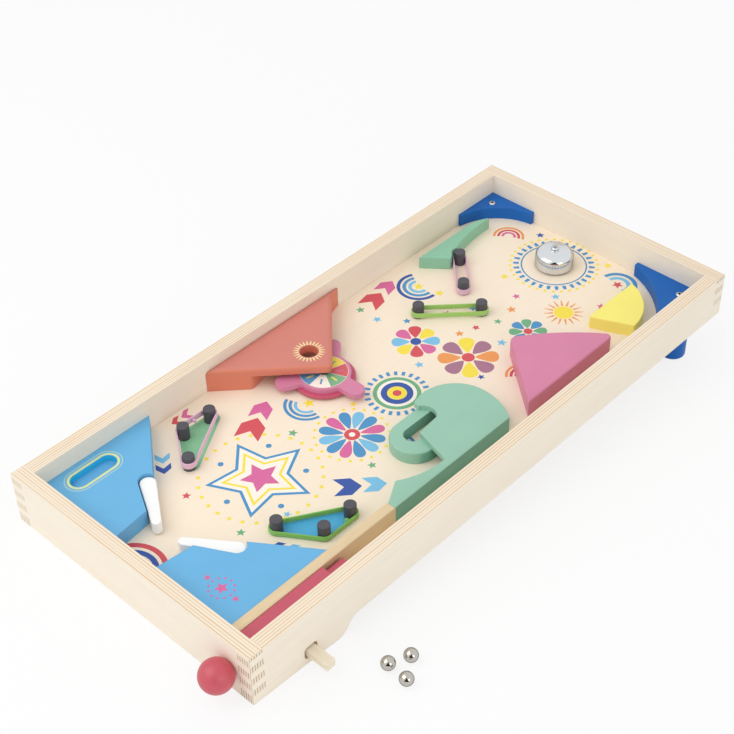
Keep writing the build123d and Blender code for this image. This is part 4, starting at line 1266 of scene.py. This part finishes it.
class PINBALL_OT_balls(bpy.types.Operator):
    """Three steel balls on the table"""

    bl_idname = "pinball.balls"
    bl_label = "Balls"

    def execute(self, context):
        # Painted shade in the reflections: a low rim darkens the balls' outline, standing in for the shaded
        # surroundings that they reflect.
        polished = metal("ball_steel", context.scene.pinball_paint.ball, 0.07, 0.08, 0.25)
        dress(polished, "steel_ball_1", "steel_ball_2", "steel_ball_3")
        return {"FINISHED"}


class PINBALL_OT_stage(bpy.types.Operator):
    """White floor, soft studio light and the camera"""

    bl_idname = "pinball.stage"
    bl_label = "Stage"

    floor_half = 6.0
    floor_drop = 0.00005
    floor_white = 0.8
    opening_half = 0.9
    opening_distance = 1.6
    opening_height = 2.2
    key_from = (-0.9, -1.6, 2.0)
    key_size = (2.2, 2.2)
    fill_from = (1.9, -0.7, 0.8)
    fill_size = (1.4, 1.0)

    def sheet(self, name, corners, material):
        """A flat face that belongs to the stage."""
        shell = bmesh.new()
        shell.faces.new([shell.verts.new(corner) for corner in corners])
        made = mesh_object(name, shell, material)
        return made

    def floor(self):
        """A white floor that takes the object's shadow."""
        finish = Finish("floor_white")
        cloud = finish.noise(finish.spot(), (0.002, 0.002, 0.002), 2.0)
        white = finish.mix((0.87, 0.87, 0.87), (0.90, 0.90, 0.90), cloud)
        matt = finish.node("ShaderNodeBsdfDiffuse", {}, {"Color": white})
        glow = finish.node("ShaderNodeEmission", {}, {"Color": (1, 1, 1), "Strength": 1.0})
        share = finish.seen() * self.floor_white
        surface = finish.node("ShaderNodeMixShader", {}, {0: share, 1: matt, 2: glow})
        finish.node("ShaderNodeOutputMaterial", {}, {"Surface": surface})
        half, low = self.floor_half, -self.floor_drop
        corners = [(-half, -half, low), (half, -half, low), (half, half, low), (-half, half, low)]
        self.sheet("floor", corners, finish.owner)

    def opening(self, middle, aim):
        """The dark opening of the studio tent on the camera's side, which only reflections see."""
        toward = Vector((-aim.x, -aim.y, 0)).normalized()
        beside = Vector((-toward.y, toward.x, 0)) * self.opening_half
        foot = Vector((middle.x, middle.y, 0)) + toward * self.opening_distance
        corners = (foot - beside, foot + beside, foot + Vector((0, 0, self.opening_height)))
        dark = Finish("opening_dark").done((0.02, 0.02, 0.02), 0.9)
        made = self.sheet("opening", corners, dark)
        made.visible_camera = made.visible_diffuse = made.visible_shadow = False

    def sky(self, strength):
        """An even sky, white where the camera or a reflection sees it."""
        finish = Finish("studio", "worlds")
        level = finish.seen() * (1 - strength) + strength
        back = finish.node("ShaderNodeBackground", {}, {"Color": (1, 1, 1), "Strength": level})
        finish.node("ShaderNodeOutputWorld", {}, {"Surface": back})
        bpy.context.scene.world = finish.owner

    def lamp(self, name, target, away, size, power):
        """A soft rectangular lamp that shines on a target from some way off."""
        light = bpy.data.lights.new(name, "AREA")
        light.shape = "RECTANGLE"
        light.size, light.size_y = size
        light.energy = power
        made = added(name, light)
        made.location = target + Vector(away)
        made.rotation_euler = (-Vector(away)).to_track_quat("-Z", "Y").to_euler()

    def execute(self, context):
        scene = context.scene
        stage = scene.pinball_stage
        scene.view_settings.view_transform = "Standard"
        self.floor()
        self.sky(stage.sky)
        middle = (CAD_BOX[0] + CAD_BOX[1]) / 2
        self.lamp("key", middle, self.key_from, self.key_size, stage.key)
        self.lamp("fill", middle, self.fill_from, self.fill_size, stage.fill)
        camera = bpy.data.cameras.new("camera")
        camera.lens = stage.lens
        made = added("camera", camera)
        aim = Vector(stage.aim).normalized()
        self.opening(middle, aim)
        right = aim.cross(Vector(stage.upward)).normalized()
        turn = Matrix((right, right.cross(aim), -aim)).transposed().to_4x4()
        made.matrix_world = Matrix.Translation(stage.camera) @ turn
        scene.camera = made
        return {"FINISHED"}


PIECES = (
    PINBALL_OT_tray,
    PINBALL_OT_board,
    PINBALL_OT_board_print,
    PINBALL_OT_aprons,
    PINBALL_OT_flippers,
    PINBALL_OT_push_bars,
    PINBALL_OT_launcher,
    PINBALL_OT_window_block,
    PINBALL_OT_spinner,
    PINBALL_OT_blocks,
    PINBALL_OT_legs,
    PINBALL_OT_bumpers,
    PINBALL_OT_bell,
    PINBALL_OT_balls,
    PINBALL_OT_stage,
)
GROUPS = {
    "pinball_paint": PaintColours,
    "pinball_inks": PrintColours,
    "pinball_sizes": FinishSizes,
    "pinball_stage": StageSettings,
}


class PINBALL_PT_panel(bpy.types.Panel):
    """Settings and pieces of the pinball game"""

    bl_label = "Pinball game"
    bl_idname = "PINBALL_PT_panel"
    bl_space_type = "VIEW_3D"
    bl_region_type = "UI"
    bl_category = "Pinball"

    def draw(self, context):
        for name, group in GROUPS.items():
            box = self.layout.box()
            for setting in group.__annotations__:
                box.prop(getattr(context.scene, name), setting)
        for operator in PIECES:
            self.layout.operator(operator.bl_idname)


def register():
    """Register the settings, operators and panel."""
    for made in (*GROUPS.values(), *PIECES, PINBALL_PT_panel):
        bpy.utils.register_class(made)
    for name, group in GROUPS.items():
        setattr(bpy.types.Scene, name, bpy.props.PointerProperty(type=group))


def unregister():
    """Take the settings, operators and panel away."""
    for name in GROUPS:
        delattr(bpy.types.Scene, name)
    for made in reversed((*GROUPS.values(), *PIECES, PINBALL_PT_panel)):
        bpy.utils.unregister_class(made)


def main():
    """Make every piece and the stage."""
    register()
    for operator in PIECES:
        family, name = operator.bl_idname.split(".")
        getattr(getattr(bpy.ops, family), name)()


if __name__ == "__main__":
    main()
